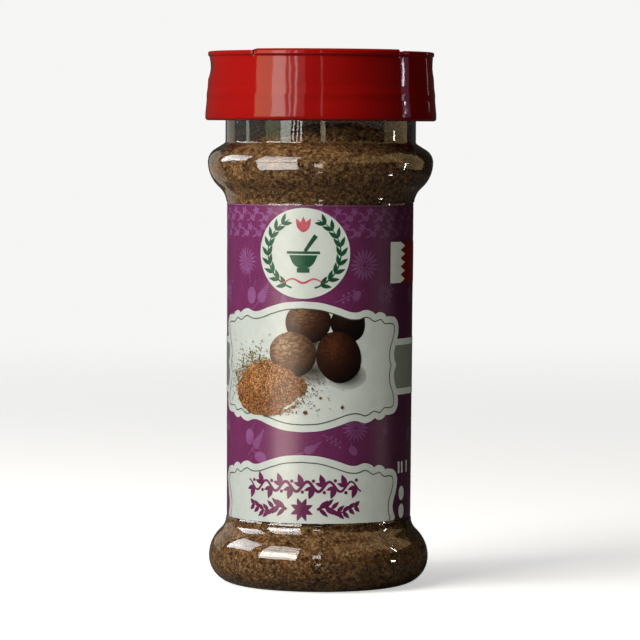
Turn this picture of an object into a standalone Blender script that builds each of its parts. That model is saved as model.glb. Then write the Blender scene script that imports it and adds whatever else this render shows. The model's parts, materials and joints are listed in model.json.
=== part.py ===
"""Ground nutmeg in its clear plastic spice jar, shut with a red cap that has two flaps.

Four pieces stand one inside or round the other on the Z axis: the blown jar, the powder that
fills it, the paper label wrapped round its waist, and the cap pressed over its neck.
Metres, +Z up. The origin is the middle of the foot, on the surface that the jar stands on.
The side shown to a viewer is -Y.
"""

import math

import bmesh
import bpy
from mathutils import Matrix, Vector, noise

# ---------------------------------------------------------------- driving dimensions
SEGMENTS = 48  # flats round every turned piece, the same for all so that their gaps stay even
GAP = 0.0003  # between two pieces that touch on the real thing

# Jar, from the foot up. R is a radius from the Z axis.
JAR_WALL = 0.0007
FOOT_R = 0.01451  # outer edge of the flat ring it stands on
FOOT_INNER_R = 0.0112
PUSH_UP = 0.0014  # how far the middle of the base is raised
BASE_R = 0.01921  # widest point of the lower bulge
BASE_Z = 0.0047
BASE_UPPER_ARC = 0.0064
BASE_FILLET = 0.0020
WAIST_LOW_R = 0.01620  # outside of the label at its lower edge
WAIST_HIGH_R = 0.01637  # outside of the label at its upper edge
SHOULDER_R = 0.01967  # widest point of the upper bulge
SHOULDER_Z = 0.0736
SHOULDER_LOWER_ARC = 0.0059
SHOULDER_UPPER_ARC = 0.0026
SHOULDER_FILLET = 0.0040
SHOULDER_SLOPE = math.radians(58)  # where the upper arc runs into the straight slope to the neck
NECK_R = 0.01662
NECK_TOP_Z = 0.0910
NECK_LIP = 0.0004

# Label
LABEL_THICKNESS = 0.00015
LABEL_LOW_Z = 0.0119
LABEL_HIGH_Z = 0.0664
PANEL_MARGIN = 0.0002  # the jar's flat panel runs this far past the label, up and down
PANEL_STEP = 0.00012  # height over which the jar's surface steps in to the panel

# Nutmeg
MOUND_TOP_Z = 0.0802
MOUND_TOP_X = 0.0040  # the peak lies a little to the right of the middle
MOUND_FALL_LEFT = 12.8  # fall in metres per square metre of distance from the peak
MOUND_FALL_RIGHT = 25.0
MOUND_FALL_DEPTH = 3.4  # the same, front to back
MOUND_LUMP = 0.00045
MOUND_LUMP_SPAN = 0.0050
MOUND_GRAIN = 0.00022
MOUND_GRAIN_SPAN = 0.0016
MOUND_CELLS = 34  # squares along each side of the grid that gives the free surface

# Cap
CAP_TOP_Z = 0.09305
CAP_LOW_Z = 0.0808
CAP_RIM_R = 0.01971  # bead round the top
CAP_RIM_LOW_Z = 0.0920
CAP_UPPER_R = 0.01950  # just under the top bead
CAP_UPPER_LOW_R = 0.01976  # just over the ledge
CAP_LEDGE_Z = 0.0853
CAP_LEDGE_HEIGHT = 0.0013
CAP_LEDGE_R = 0.01994
CAP_BEAD_R = 0.02016  # bead round the bottom
CAP_BEAD_Z = 0.0821
CAP_BEAD_RISE = 0.0009  # the bead swells out of the wall over this height
CAP_BORE_R = 0.0183
CAP_CEILING = NECK_TOP_Z + GAP
CAP_EDGE = 0.0005  # rounding of the top and bottom edges
CAP_TURN = math.radians(4.5)  # the flaps' line is turned this far from the X axis
FLAP_HALF_ARC = math.radians(50)  # half of the rim that each flap takes
FLAP_DROP = 0.00025  # the flaps' tops lie this far below the middle
HINGE_GROOVE = 0.0005
NOTCH_WIDTH = 0.0006
NOTCH_DEPTH = 0.0005
SCOOP_R = 0.0040  # the fingertip's hollow is part of a lying cylinder
SCOOP_DEPTH = 0.00045
SCOOP_Z = 0.0901


# ---------------------------------------------------------------- helpers
def arc(centre, radius, start, end, steps):
    """Points on an arc in the (r, z) plane, from one angle to the other, both ends included."""
    angles = [start + (end - start) * i / steps for i in range(steps + 1)]
    return [(centre[0] + radius * math.cos(a), centre[1] + radius * math.sin(a)) for a in angles]


def fillet(arc_centre, arc_radius, wall_r, radius, above):
    """The hollow corner between a bulge's arc and the waist: its centre, and the angle at which it
    leaves the arc. The two circles touch, so their centres are the sum of the radii apart."""
    centre_r = wall_r + radius
    across = centre_r - arc_centre[0]
    along = math.sqrt((arc_radius + radius) ** 2 - across**2)
    centre_z = arc_centre[1] + (along if above else -along)
    return (centre_r, centre_z), math.atan2(centre_z - arc_centre[1], across)


def inset(profile, distance):
    """The profile moved towards the inside. It runs top to bottom with the inside on its
    right, in the (r, z) plane, and each point moves along the mean normal of its two edges."""
    moved = []
    for i, (r, z) in enumerate(profile):
        before = Vector(profile[max(i - 1, 0)])
        after = Vector(profile[min(i + 1, len(profile) - 1)])
        run_in = (Vector((r, z)) - before).normalized()
        run_out = (after - Vector((r, z))).normalized()
        tangent = (run_in + run_out).normalized()
        normal = Vector((tangent.y, -tangent.x))
        cosine = max(normal.dot(Vector((run_out.y, -run_out.x))), 0.6) if run_out.length else 1.0
        cosine = cosine if run_in.length else 1.0
        moved.append((max(r + normal.x * distance / cosine, 0.0), z + normal.y * distance / cosine))
    return moved


def material(name, colour, roughness, transmission=0.0, ior=1.5):
    made = bpy.data.materials.new(name)
    made.use_nodes = True
    shader = made.node_tree.nodes["Principled BSDF"]
    shader.inputs["Base Color"].default_value = (*colour, 1.0)
    shader.inputs["Roughness"].default_value = roughness
    shader.inputs["Metallic"].default_value = 0.0
    shader.inputs["Transmission Weight"].default_value = transmission
    shader.inputs["IOR"].default_value = ior
    return made


def turned(name, profile, collection):
    """A solid turned round the Z axis. The profile runs down its outer side, top to bottom."""
    mesh = bpy.data.meshes.new(name)
    edges = [(i, i + 1) for i in range(len(profile) - 1)]
    mesh.from_pydata([(r, 0.0, z) for r, z in profile], edges, [])
    obj = bpy.data.objects.new(name, mesh)
    collection.objects.link(obj)
    screw = obj.modifiers.new("turn", "SCREW")
    screw.axis = "Z"
    screw.steps = SEGMENTS
    screw.render_steps = SEGMENTS
    screw.use_merge_vertices = True
    screw.merge_threshold = 0.00001
    screw.use_smooth_shade = True
    return obj


def cut(obj, cutter):
    modifier = obj.modifiers.new(cutter.name, "BOOLEAN")
    modifier.operation = "DIFFERENCE"
    modifier.object = cutter
    modifier.solver = "EXACT"


def cutter_from(name, shape, collection):
    """A cutter object from a bmesh that is already in place."""
    bmesh.ops.recalc_face_normals(shape, faces=shape.faces)
    mesh = bpy.data.meshes.new(name)
    shape.to_mesh(mesh)
    shape.free()
    obj = bpy.data.objects.new(name, mesh)
    obj.hide_render = True
    obj.display_type = "WIRE"
    collection.objects.link(obj)
    return obj


def box_cutter(name, size, place, collection):
    """A box of this size, carried into place by a matrix."""
    shape = bmesh.new()
    bmesh.ops.create_cube(shape, size=1.0, matrix=place @ Matrix.Diagonal((*size, 1.0)))
    return cutter_from(name, shape, collection)


def finish(obj, look):
    obj.data.materials.append(look)
    obj.data.shade_smooth()
    obj.data.set_sharp_from_angle(angle=math.radians(35))


# ---------------------------------------------------------------- the jar's outline
def neck_outline():
    """Down the neck and the straight slope, to where the shoulder's upper arc begins."""
    centre = (SHOULDER_R - SHOULDER_UPPER_ARC, SHOULDER_Z)
    start = arc(centre, SHOULDER_UPPER_ARC, SHOULDER_SLOPE, SHOULDER_SLOPE, 1)[0]
    slope_rise = (start[0] - NECK_R) / math.tan(SHOULDER_SLOPE)
    corner_z = start[1] + slope_rise
    soft = NECK_LIP
    return [
        (NECK_R - NECK_LIP, NECK_TOP_Z),
        (NECK_R, NECK_TOP_Z - NECK_LIP),
        (NECK_R, corner_z + soft),
        (NECK_R + soft * math.tan(SHOULDER_SLOPE) / 2, corner_z - soft / 2),
    ]


def shoulder_outline():
    """Round the upper bulge and through its hollow fillet, to the top of the label's panel."""
    upper = (SHOULDER_R - SHOULDER_UPPER_ARC, SHOULDER_Z)
    lower = (SHOULDER_R - SHOULDER_LOWER_ARC, SHOULDER_Z)
    centre, leave = fillet(lower, SHOULDER_LOWER_ARC, WAIST_HIGH_R, SHOULDER_FILLET, above=False)
    panel_top = LABEL_HIGH_Z + PANEL_MARGIN + PANEL_STEP
    stop = math.pi - math.asin((panel_top - centre[1]) / SHOULDER_FILLET)
    return (
        arc(upper, SHOULDER_UPPER_ARC, SHOULDER_SLOPE, 0, 4)
        + arc(lower, SHOULDER_LOWER_ARC, 0, leave, 4)[1:]
        + arc(centre, SHOULDER_FILLET, leave + math.pi, stop, 3)[1:]
    )


def panel_outline():
    """The straight, slightly tapered panel behind the label."""
    depth = LABEL_THICKNESS + GAP
    return [
        (WAIST_HIGH_R - depth, LABEL_HIGH_Z + PANEL_MARGIN),
        (WAIST_LOW_R - depth, LABEL_LOW_Z - PANEL_MARGIN),
    ]


def base_outline():
    """From under the panel round the lower bulge to the edge of the foot."""
    upper = (BASE_R - BASE_UPPER_ARC, BASE_Z)
    centre, leave = fillet(upper, BASE_UPPER_ARC, WAIST_LOW_R, BASE_FILLET, above=True)
    panel_low = LABEL_LOW_Z - PANEL_MARGIN - PANEL_STEP
    begin = math.pi - math.asin((panel_low - centre[1]) / BASE_FILLET)
    heel = BASE_Z
    return (
        arc(centre, BASE_FILLET, begin, math.pi + leave, 3)
        + arc(upper, BASE_UPPER_ARC, leave, 0, 3)[1:]
        + arc((FOOT_R, BASE_Z), heel, 0, -math.pi / 2, 5)[1:]
    )


def foot_outline():
    """Across the flat ring and up into the raised middle of the base."""
    rise = [(FOOT_INNER_R * (1 - i / 3), PUSH_UP * (1 - (1 - i / 3) ** 2)) for i in range(4)]
    return rise


def jar_outline():
    return neck_outline() + shoulder_outline() + panel_outline() + base_outline() + foot_outline()


# ---------------------------------------------------------------- the pieces
def make_jar(parts):
    outside = jar_outline()
    inside = inset(outside, JAR_WALL)
    inside[0] = (NECK_R - JAR_WALL, NECK_TOP_Z)
    inside[-1] = (0.0, PUSH_UP + JAR_WALL)
    jar = turned("jar", inside[::-1] + outside, parts)
    finish(jar, material("clear_plastic", (0.93, 0.95, 0.94), 0.05, transmission=1.0, ior=1.57))
    return jar


def mound_height(x, y):
    """Free surface of the powder: a low dome, steeper to the left and right than front to back,
    with settled lumps and a finer roughness on it."""
    fall_x = MOUND_FALL_RIGHT if x > MOUND_TOP_X else MOUND_FALL_LEFT
    fall = fall_x * (x - MOUND_TOP_X) ** 2 + MOUND_FALL_DEPTH * y**2
    lump = MOUND_LUMP * noise.noise(Vector((x, y, 0.0)) / MOUND_LUMP_SPAN)
    grain = MOUND_GRAIN * noise.noise(Vector((x, y, 0.01)) / MOUND_GRAIN_SPAN)
    return MOUND_TOP_Z - fall + lump + grain


def headspace_cutter(cutters):
    """The air above the powder: a slab whose underside is the mound."""
    reach = BASE_R + 0.002
    shape = bmesh.new()
    bmesh.ops.create_grid(shape, x_segments=MOUND_CELLS, y_segments=MOUND_CELLS, size=reach)
    under = list(shape.verts)
    grown = bmesh.ops.extrude_face_region(shape, geom=list(shape.faces))
    for vert in grown["geom"]:
        if isinstance(vert, bmesh.types.BMVert):
            vert.co.z = CAP_TOP_Z
    for vert in under:
        vert.co.z = mound_height(vert.co.x, vert.co.y)
    return cutter_from("headspace", shape, cutters)


def make_nutmeg(parts, cutters):
    """The powder fills the jar out to its wall, up to the mound."""
    side = inset(jar_outline(), JAR_WALL + GAP)
    side[0] = (NECK_R - JAR_WALL - GAP, NECK_TOP_Z)
    side[-1] = (0.0, PUSH_UP + JAR_WALL + GAP)
    nutmeg = turned("nutmeg", [(0.0, NECK_TOP_Z)] + side, parts)
    cut(nutmeg, headspace_cutter(cutters))
    finish(nutmeg, material("ground_nutmeg", (0.165, 0.085, 0.042), 0.95))
    return nutmeg


def make_label(parts):
    """A paper sleeve round the panel, following its taper."""
    inner_high = WAIST_HIGH_R - LABEL_THICKNESS
    inner_low = WAIST_LOW_R - LABEL_THICKNESS
    profile = [
        (inner_low, LABEL_LOW_Z),
        (inner_high, LABEL_HIGH_Z),
        (WAIST_HIGH_R, LABEL_HIGH_Z),
        (WAIST_LOW_R, LABEL_LOW_Z),
    ]
    label = turned("label", profile + profile[:1], parts)
    finish(label, material("purple_label", (0.19, 0.026, 0.13), 0.3))
    return label


def cap_outline():
    """The outer side of the cap, from the middle of its top down to its bottom edge."""
    edge = CAP_EDGE
    top_corner = (CAP_RIM_R - edge, CAP_TOP_Z - edge)
    low_corner = (CAP_BEAD_R - edge, CAP_LOW_Z + edge)
    soft = 0.00015
    return (
        [(0.0, CAP_TOP_Z), (CAP_RIM_R * 0.55, CAP_TOP_Z)]
        + arc(top_corner, edge, math.pi / 2, 0, 3)
        + [
            (CAP_RIM_R, CAP_RIM_LOW_Z),
            (CAP_UPPER_R, CAP_RIM_LOW_Z - soft),
            (CAP_UPPER_LOW_R, CAP_LEDGE_Z + CAP_LEDGE_HEIGHT),
            (CAP_LEDGE_R, CAP_LEDGE_Z),
            (CAP_LEDGE_R, CAP_BEAD_Z + CAP_BEAD_RISE),
            (CAP_BEAD_R, CAP_BEAD_Z),
        ]
        + arc(low_corner, edge, 0, -math.pi / 2, 3)
    )


def cap_inside():
    """Up from the bottom edge to the ceiling over the jar's neck."""
    lead_in = 0.0003
    return [
        (CAP_BORE_R + lead_in, CAP_LOW_Z),
        (CAP_BORE_R, CAP_LOW_Z + 2 * lead_in),
        (CAP_BORE_R, CAP_CEILING - lead_in),
        (CAP_BORE_R - lead_in, CAP_CEILING),
        (0.0, CAP_CEILING),
    ]


def flap_cutters(side, cutters):
    """What shapes one flap: its lower top, the hinge groove, a notch at each end of the groove and
    the scoop for a fingertip under its lip. side is 0 for the right flap and 1 for the left."""
    turn = Matrix.Rotation(CAP_TURN + side * math.pi, 4, "Z")
    chord = CAP_RIM_R * math.cos(FLAP_HALF_ARC)
    length = 2 * CAP_BEAD_R + 0.004
    tag = ("right", "left")[side]

    drop_centre = Vector((chord + length / 2, 0, CAP_TOP_Z - FLAP_DROP + length / 2))
    drop = turn @ Matrix.Translation(drop_centre)
    groove = turn @ Matrix.Translation((chord, 0, CAP_TOP_Z)) @ Matrix.Rotation(math.pi / 4, 4, "Y")
    groove_side = HINGE_GROOVE * math.sqrt(2)
    made = [
        box_cutter("drop_" + tag, (length, length, length), drop, cutters),
        box_cutter("groove_" + tag, (groove_side, length, groove_side), groove, cutters),
    ]
    for end in (-1, 1):
        spoke = turn @ Matrix.Rotation(end * FLAP_HALF_ARC, 4, "Z")
        notch = spoke @ Matrix.Translation((CAP_RIM_R + 0.001 - NOTCH_DEPTH, 0, CAP_TOP_Z))
        size = (0.002, NOTCH_WIDTH, 2 * (CAP_TOP_Z - CAP_RIM_LOW_Z))
        made.append(box_cutter(f"notch_{tag}_{end + 1}", size, notch, cutters))

    scoop_place = Matrix.Translation((CAP_UPPER_R + SCOOP_R - SCOOP_DEPTH, 0, SCOOP_Z))
    scoop = bmesh.new()
    bmesh.ops.create_cone(
        scoop,
        cap_ends=True,
        segments=40,
        radius1=SCOOP_R,
        radius2=SCOOP_R,
        depth=length,
        matrix=turn @ scoop_place @ Matrix.Rotation(math.pi / 2, 4, "X"),
    )
    made.append(cutter_from("scoop_" + tag, scoop, cutters))
    return made


def make_cap(parts, cutters):
    cap = turned("cap", cap_outline() + cap_inside(), parts)
    for side in (0, 1):
        for cutter in flap_cutters(side, cutters):
            cut(cap, cutter)
    finish(cap, material("red_plastic", (0.42, 0.006, 0.008), 0.16))
    return cap


def main():
    for obj in list(bpy.data.objects):
        bpy.data.objects.remove(obj, do_unlink=True)
    parts = bpy.data.collections.new("ground_nutmeg_jar")
    cutters = bpy.data.collections.new("cutters")
    for made in (parts, cutters):
        bpy.context.scene.collection.children.link(made)
    make_jar(parts)
    make_nutmeg(parts, cutters)
    make_label(parts)
    make_cap(parts, cutters)


main()
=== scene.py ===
# %% [markdown]
# # Ground nutmeg in a spice jar
# A shut jar of brown powder: a clear blown bottle with a round shoulder and a round base, a
# purple printed label round its waist, and a glossy red cap whose two flaps are closed.
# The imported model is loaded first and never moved. Every finer piece is worked out around it.

# %% Load the frame
import json
import math

import bmesh
import bpy
import numpy as np
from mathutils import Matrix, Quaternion, Vector

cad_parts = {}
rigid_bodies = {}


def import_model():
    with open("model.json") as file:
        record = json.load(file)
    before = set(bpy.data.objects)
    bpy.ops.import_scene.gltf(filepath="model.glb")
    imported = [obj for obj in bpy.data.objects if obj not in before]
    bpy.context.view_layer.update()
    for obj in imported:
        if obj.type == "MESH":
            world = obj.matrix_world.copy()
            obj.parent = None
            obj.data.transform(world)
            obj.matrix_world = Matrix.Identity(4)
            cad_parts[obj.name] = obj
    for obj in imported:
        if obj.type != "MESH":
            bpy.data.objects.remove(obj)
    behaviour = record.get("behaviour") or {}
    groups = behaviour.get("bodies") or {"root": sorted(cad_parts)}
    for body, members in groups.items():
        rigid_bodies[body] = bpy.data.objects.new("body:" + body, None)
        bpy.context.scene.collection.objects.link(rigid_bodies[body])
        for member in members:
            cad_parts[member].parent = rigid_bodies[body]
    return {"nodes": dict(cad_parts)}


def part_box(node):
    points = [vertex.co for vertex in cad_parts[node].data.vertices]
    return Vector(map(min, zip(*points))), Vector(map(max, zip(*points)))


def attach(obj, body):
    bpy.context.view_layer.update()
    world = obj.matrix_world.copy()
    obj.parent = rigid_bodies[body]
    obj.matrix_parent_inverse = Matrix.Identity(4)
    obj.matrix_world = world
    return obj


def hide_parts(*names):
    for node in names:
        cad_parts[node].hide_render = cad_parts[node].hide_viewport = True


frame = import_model()
print("nodes:", ", ".join(sorted(frame["nodes"])))
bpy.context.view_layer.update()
jar_high = np.array(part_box("jar")[1])
label_low, label_high = (np.array(corner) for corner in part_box("label"))
cap_low, cap_high = (np.array(corner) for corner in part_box("cap"))
print("cap top at", round(cap_high[2] * 1000, 2), "mm, label from", label_low[2], "to", label_high[2])

# %% [markdown]
# ## Surfaces as arrays
# A turned piece, a label print or a heap of grains is easiest to describe as a function of two
# parameters. numpy evaluates the function on a whole grid at once, and foreach_set copies the
# result into a mesh. Poles and seams are closed by merging the points that coincide.

# %% Grid to mesh
MM = 0.001
MERGE = 1e-6  # points closer than this are one point
LATTICE = 97  # random numbers along each side of a noise table


def pair(x, y):
    """Two coordinates joined into places, repeated where one has fewer rows or columns."""
    return np.stack(np.broadcast_arrays(x, y), axis=-1)


def polar(r, angle, z):
    """Places from their distance to the Z axis, their angle a round it and their height:
    (r cos a, r sin a, z)."""
    return np.stack(np.broadcast_arrays(r * np.cos(angle), r * np.sin(angle), z), axis=-1)


def smoothstep(t):
    """The curve 3t^2 - 2t^3, which leaves 0 and reaches 1 level."""
    return t * t * (3 - 2 * t)


def quads_of(rows, columns, wrap=False):
    """Corner numbers of the quads of a grid: each cell joins (i, j), (i+1, j), (i+1, j+1) and
    (i, j+1). With wrap the last column joins the first."""
    i, j = np.meshgrid(np.arange(rows - 1), np.arange(columns - (not wrap)), indexing="ij")
    here_row, next_row, after = i * columns, (i + 1) * columns, (j + 1) % columns
    cells = np.stack([here_row + j, next_row + j, next_row + after, here_row + after])
    return cells.reshape(4, -1).T


def mesh_from(name, points, quads):
    """A mesh object from an array of points and an array of faces, at the origin."""
    mesh = bpy.data.meshes.new(name)
    mesh.vertices.add(len(points))
    mesh.vertices.foreach_set("co", np.asarray(points, np.float32).ravel())
    mesh.loops.add(quads.size)
    mesh.loops.foreach_set("vertex_index", quads.astype(np.int32).ravel())
    mesh.polygons.add(len(quads))
    mesh.polygons.foreach_set("loop_start", np.arange(0, quads.size, quads.shape[1], dtype=np.int32))
    mesh.update(calc_edges=True)
    piece = bpy.data.objects.new(name, mesh)
    bpy.context.scene.collection.objects.link(piece)
    return piece


def close_up(piece, outward=True):
    """Merges coincident points, which turns the grid's poles into fans, and faces a shell out."""
    shape = bmesh.new()
    shape.from_mesh(piece.data)
    bmesh.ops.remove_doubles(shape, verts=shape.verts, dist=MERGE)
    bmesh.ops.dissolve_degenerate(shape, edges=shape.edges, dist=MERGE)
    if outward:
        bmesh.ops.recalc_face_normals(shape, faces=shape.faces)
    shape.to_mesh(piece.data)
    shape.free()
    return piece


def smooth(piece, angle=40):
    """Closes a piece up and shades it smooth wherever its faces meet under this many degrees."""
    close_up(piece)
    piece.data.shade_smooth()
    piece.data.set_sharp_from_angle(angle=math.radians(angle))
    return piece


def shell(name, grid, angle):
    """A closed, smooth surface from a grid whose columns run round."""
    return smooth(mesh_from(name, grid.reshape(-1, 3), quads_of(*grid.shape[:2], wrap=True)), angle)


def dress(piece, material, node=None):
    """Gives a piece its material and its place in the part: it rides on the one body and, with node,
    stands for that node, whose imported piece is hidden."""
    piece.data.materials.append(material)
    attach(piece, "root")
    if node:
        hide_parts(node)
    print(f"{piece.name}: {len(piece.data.polygons)} faces")
    return piece


def arc(centre, radius, start, end, steps):
    """Points on a circle's arc in the (r, z) plane, both ends included."""
    angle = np.linspace(start, end, steps + 1)
    return pair(centre[0] + radius * np.cos(angle), centre[1] + radius * np.sin(angle))


def lattice_noise(x, y, span, seed):
    """Smooth random heights from -1 to 1: a table of random numbers on a square lattice of this
    span, blended between lattice points by the curve of smoothstep."""
    table = np.random.default_rng(seed).uniform(-1, 1, (LATTICE, LATTICE))
    gx, gy = x / span, y / span
    ix, iy = np.floor(gx).astype(int), np.floor(gy).astype(int)
    fx, fy = smoothstep(gx - ix), smoothstep(gy - iy)
    at = lambda a, b: table[(ix + a) % LATTICE, (iy + b) % LATTICE]
    low = at(0, 0) * (1 - fx) + at(1, 0) * fx
    high = at(0, 1) * (1 - fx) + at(1, 1) * fx
    return low * (1 - fy) + high * fy


# %% [markdown]
# ## Node materials
# A finish is a small tree of nodes: a pattern read at the object's own coordinates, a ramp that
# turns it into colours, and a bump. These helpers keep each tree to a few lines.

# %% Material helpers
def new_material(name):
    material = bpy.data.materials.new(name)
    material.use_nodes = True
    return material, material.node_tree.nodes["Principled BSDF"]


def feed(material, socket, value):
    """Gives a socket a value, or links it to another node's output."""
    if isinstance(value, bpy.types.NodeSocket):
        material.node_tree.links.new(value, socket)
    else:
        socket.default_value = value


def node(material, kind, settings=None, **inputs):
    """Adds a node. Settings are attributes. Inputs are given by name, or by number as i0, i1 and
    so on."""
    made = material.node_tree.nodes.new("ShaderNode" + kind)
    for key, value in (settings or {}).items():
        setattr(made, key, value)
    for key, value in inputs.items():
        feed(material, made.inputs[int(key[1:]) if key[1:].isdigit() else key], value)
    return made


def set_shader(material, shader, **inputs):
    for key, value in inputs.items():
        feed(material, shader.inputs[key.replace("_", " ")], value)


def ramp(material, factor, stops, kind="LINEAR"):
    """A colour ramp: stops are (position, (r, g, b)) in linear light."""
    made = node(material, "ValToRGB", i0=factor)
    made.color_ramp.interpolation = kind
    elements = made.color_ramp.elements
    while len(elements) < len(stops):
        elements.new(0.5)
    for element, (position, colour) in zip(elements, stops):
        element.position = position
        element.color = (*colour, 1.0)
    return made.outputs["Color"]


def here(material):
    return node(material, "TexCoord").outputs["Object"]


def noise(material, where, scale, detail=2.0, **more):
    made = node(material, "TexNoise", Vector=where, Scale=scale, Detail=detail, **more)
    return made.outputs["Fac"]


def cell_pattern(material, where, scale, channel):
    """A pattern of cells: one random number for each cell, and the distance from its middle."""
    made = node(material, "TexVoronoi", Vector=where, Scale=scale)
    split = node(material, "SeparateColor", i0=made.outputs["Color"])
    return split.outputs[channel], made.outputs["Distance"]


def maths(material, operation, first, second=0.0):
    return node(material, "Math", {"operation": operation}, i0=first, i1=second).outputs[0]


def scaled(material, value, low, high, first, last):
    """The range from low to high, carried over to the range from first to last."""
    return node(material, "MapRange", i0=value, i1=low, i2=high, i3=first, i4=last).outputs[0]


def bumped(material, height, strength, distance):
    made = node(material, "Bump", Strength=strength, Distance=distance, Height=height)
    return made.outputs["Normal"]


def mixed(material, factor, first, second, kind="MIX"):
    settings = {"data_type": "RGBA", "blend_type": kind}
    return node(material, "Mix", settings, i0=factor, i6=first, i7=second).outputs[2]


def shown(material, factor, first, second):
    """Makes a mixture of two shaders the surface of the material."""
    both = node(material, "MixShader", i0=factor, i1=first.outputs[0], i2=second.outputs[0])
    feed(material, material.node_tree.nodes["Material Output"].inputs["Surface"], both.outputs[0])


def rgb(red, green, blue):
    """A colour given as seen on a screen, 0 to 255, turned into linear light."""
    seen = np.array([red, green, blue]) / 255
    return tuple(float(c) for c in np.where(seen <= 0.04045, seen / 12.92, ((seen + 0.055) / 1.055) ** 2.4))


def dimmed(colour):
    return tuple(0.93 * c for c in colour)


# %% [markdown]
# ## The jar
# The bottle is blown from clear plastic. Its outline is all arcs: a tight one above the
# shoulder's widest point, a wide one below it, a hollow fillet into the waist, and the same
# again at the base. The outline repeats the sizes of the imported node, with many more steps, so
# that reflections run round the bulges without corners.

# %% Jar sizes
WALL = 0.7 * MM
FOOT_R, FOOT_INNER_R, PUSH_UP = 14.51 * MM, 11.2 * MM, 1.4 * MM
BASE_R, BASE_Z, BASE_ARC, BASE_FILLET = 19.21 * MM, 4.7 * MM, 6.4 * MM, 3.0 * MM
WAIST_LOW_R, WAIST_HIGH_R = 16.2 * MM, label_high[0]
SHOULDER_R, SHOULDER_Z = jar_high[0], 73.6 * MM
SHOULDER_LOWER_ARC, SHOULDER_UPPER_ARC, SHOULDER_FILLET = 5.9 * MM, 2.6 * MM, 4.0 * MM
SLOPE = math.radians(58)
NECK_R, NECK_TOP, NECK_SOFT = 16.62 * MM, jar_high[2], 0.2 * MM
LABEL_FILM = 0.1 * MM
PANEL_MARGIN, PANEL_STEP = 0.2 * MM, 0.12 * MM
LABEL_ROOM = LABEL_FILM + 0.02 * MM  # how much the panel lies back for the label
print("shoulder", round(SHOULDER_R * 1000, 2), "mm, waist", round(WAIST_HIGH_R * 1000, 2), "mm")


# %% Jar outline
def hollow(bulge, bulge_arc, wall_r, radius, side):
    """Centre of a hollow fillet that touches the bulge's arc and the waist, and the direction in
    which it leaves the arc. The centres of touching circles are the sum of the radii apart."""
    across = wall_r + radius - bulge[0]
    along = side * math.sqrt((bulge_arc + radius) ** 2 - across**2)
    return (wall_r + radius, bulge[1] + along), math.atan2(along, across)


def jar_outline():
    """Down the outside: neck, slope, shoulder, panel for the label, base, foot, raised middle."""
    upper = (SHOULDER_R - SHOULDER_UPPER_ARC, SHOULDER_Z)
    lower = (SHOULDER_R - SHOULDER_LOWER_ARC, SHOULDER_Z)
    shoulder, leave = hollow(lower, SHOULDER_LOWER_ARC, WAIST_HIGH_R, SHOULDER_FILLET, -1)
    top_of_panel = label_high[2] + PANEL_MARGIN + PANEL_STEP
    stop = math.pi - math.asin((top_of_panel - shoulder[1]) / SHOULDER_FILLET)
    base = (BASE_R - BASE_ARC, BASE_Z)
    heel, rise = hollow(base, BASE_ARC, WAIST_LOW_R, BASE_FILLET, 1)
    low_of_panel = label_low[2] - PANEL_MARGIN - PANEL_STEP
    begin = math.pi - math.asin((low_of_panel - heel[1]) / BASE_FILLET)
    first = arc(upper, SHOULDER_UPPER_ARC, SLOPE, 0, 14)
    corner_z = first[0, 1] + (first[0, 0] - NECK_R) / math.tan(SLOPE)
    t = np.linspace(0, 1, 9)[:, None]
    neck_corner = (
        (1 - t) ** 2 * [NECK_R, corner_z + NECK_SOFT]
        + 2 * t * (1 - t) * [NECK_R, corner_z]
        + t**2 * [NECK_R + NECK_SOFT * math.tan(SLOPE), corner_z - NECK_SOFT]
    )
    ends = np.array([0.25, 0.6, 1.4]) * MM
    neck_z = np.concatenate([NECK_TOP - NECK_SOFT - ends, corner_z + NECK_SOFT + ends[::-1]])
    panel_z = np.linspace(label_high[2] + PANEL_MARGIN, label_low[2] - PANEL_MARGIN, 24)
    share = (panel_z - label_low[2]) / (label_high[2] - label_low[2])
    panel_r = WAIST_LOW_R + (WAIST_HIGH_R - WAIST_LOW_R) * share - LABEL_ROOM
    s = np.linspace(1, 0, 13)
    return np.concatenate([
        arc((NECK_R - NECK_SOFT, NECK_TOP - NECK_SOFT), NECK_SOFT, math.pi / 2, 0, 5),
        pair(NECK_R, neck_z),
        neck_corner,
        first,
        arc(lower, SHOULDER_LOWER_ARC, 0, leave, 18)[1:],
        arc(shoulder, SHOULDER_FILLET, leave + math.pi, stop, 12)[1:],
        pair(panel_r, panel_z),
        arc(heel, BASE_FILLET, begin, math.pi + rise, 12),
        arc(base, BASE_ARC, rise, 0, 14)[1:],
        arc((FOOT_R, BASE_Z), BASE_Z, 0, -math.pi / 2, 18)[1:],
        pair(FOOT_INNER_R * s, PUSH_UP * (1 - s**2)),
    ])


def inset(outline, distance):
    """Each point moved inwards by the distance, along the mean normal of its two edges."""
    run = np.concatenate([outline[1:], outline[-1:]]) - np.concatenate([outline[:1], outline[:-1]])
    run /= np.linalg.norm(run, axis=1)[:, None]
    moved = outline + distance * pair(run[:, 1], -run[:, 0])
    moved[:, 0] = np.maximum(moved[:, 0], 0)
    moved[-1] = (0.0, outline[-1, 1] + distance)
    return moved


# %% Make the jar
JAR_STEPS = 256
ring_angles = np.linspace(0, 2 * np.pi, JAR_STEPS, endpoint=False)
outside = jar_outline()
inside = inset(outside, WALL)
inside[0] = (NECK_R - WALL, NECK_TOP - 0.1 * MM)
jar_r, jar_z = np.concatenate([inside[::-1], outside]).T[:, :, None]
jar = shell("clear_jar", polar(jar_r, ring_angles, jar_z), 50)


# %% [markdown]
# ## Clear plastic
# Real bottle plastic bends light like glass and is a little wavy, because it was blown. Light
# has to reach the powder behind it, so rays from lamps pass straight through, by a Light Path
# switch; what is seen through it is still bent.

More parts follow.
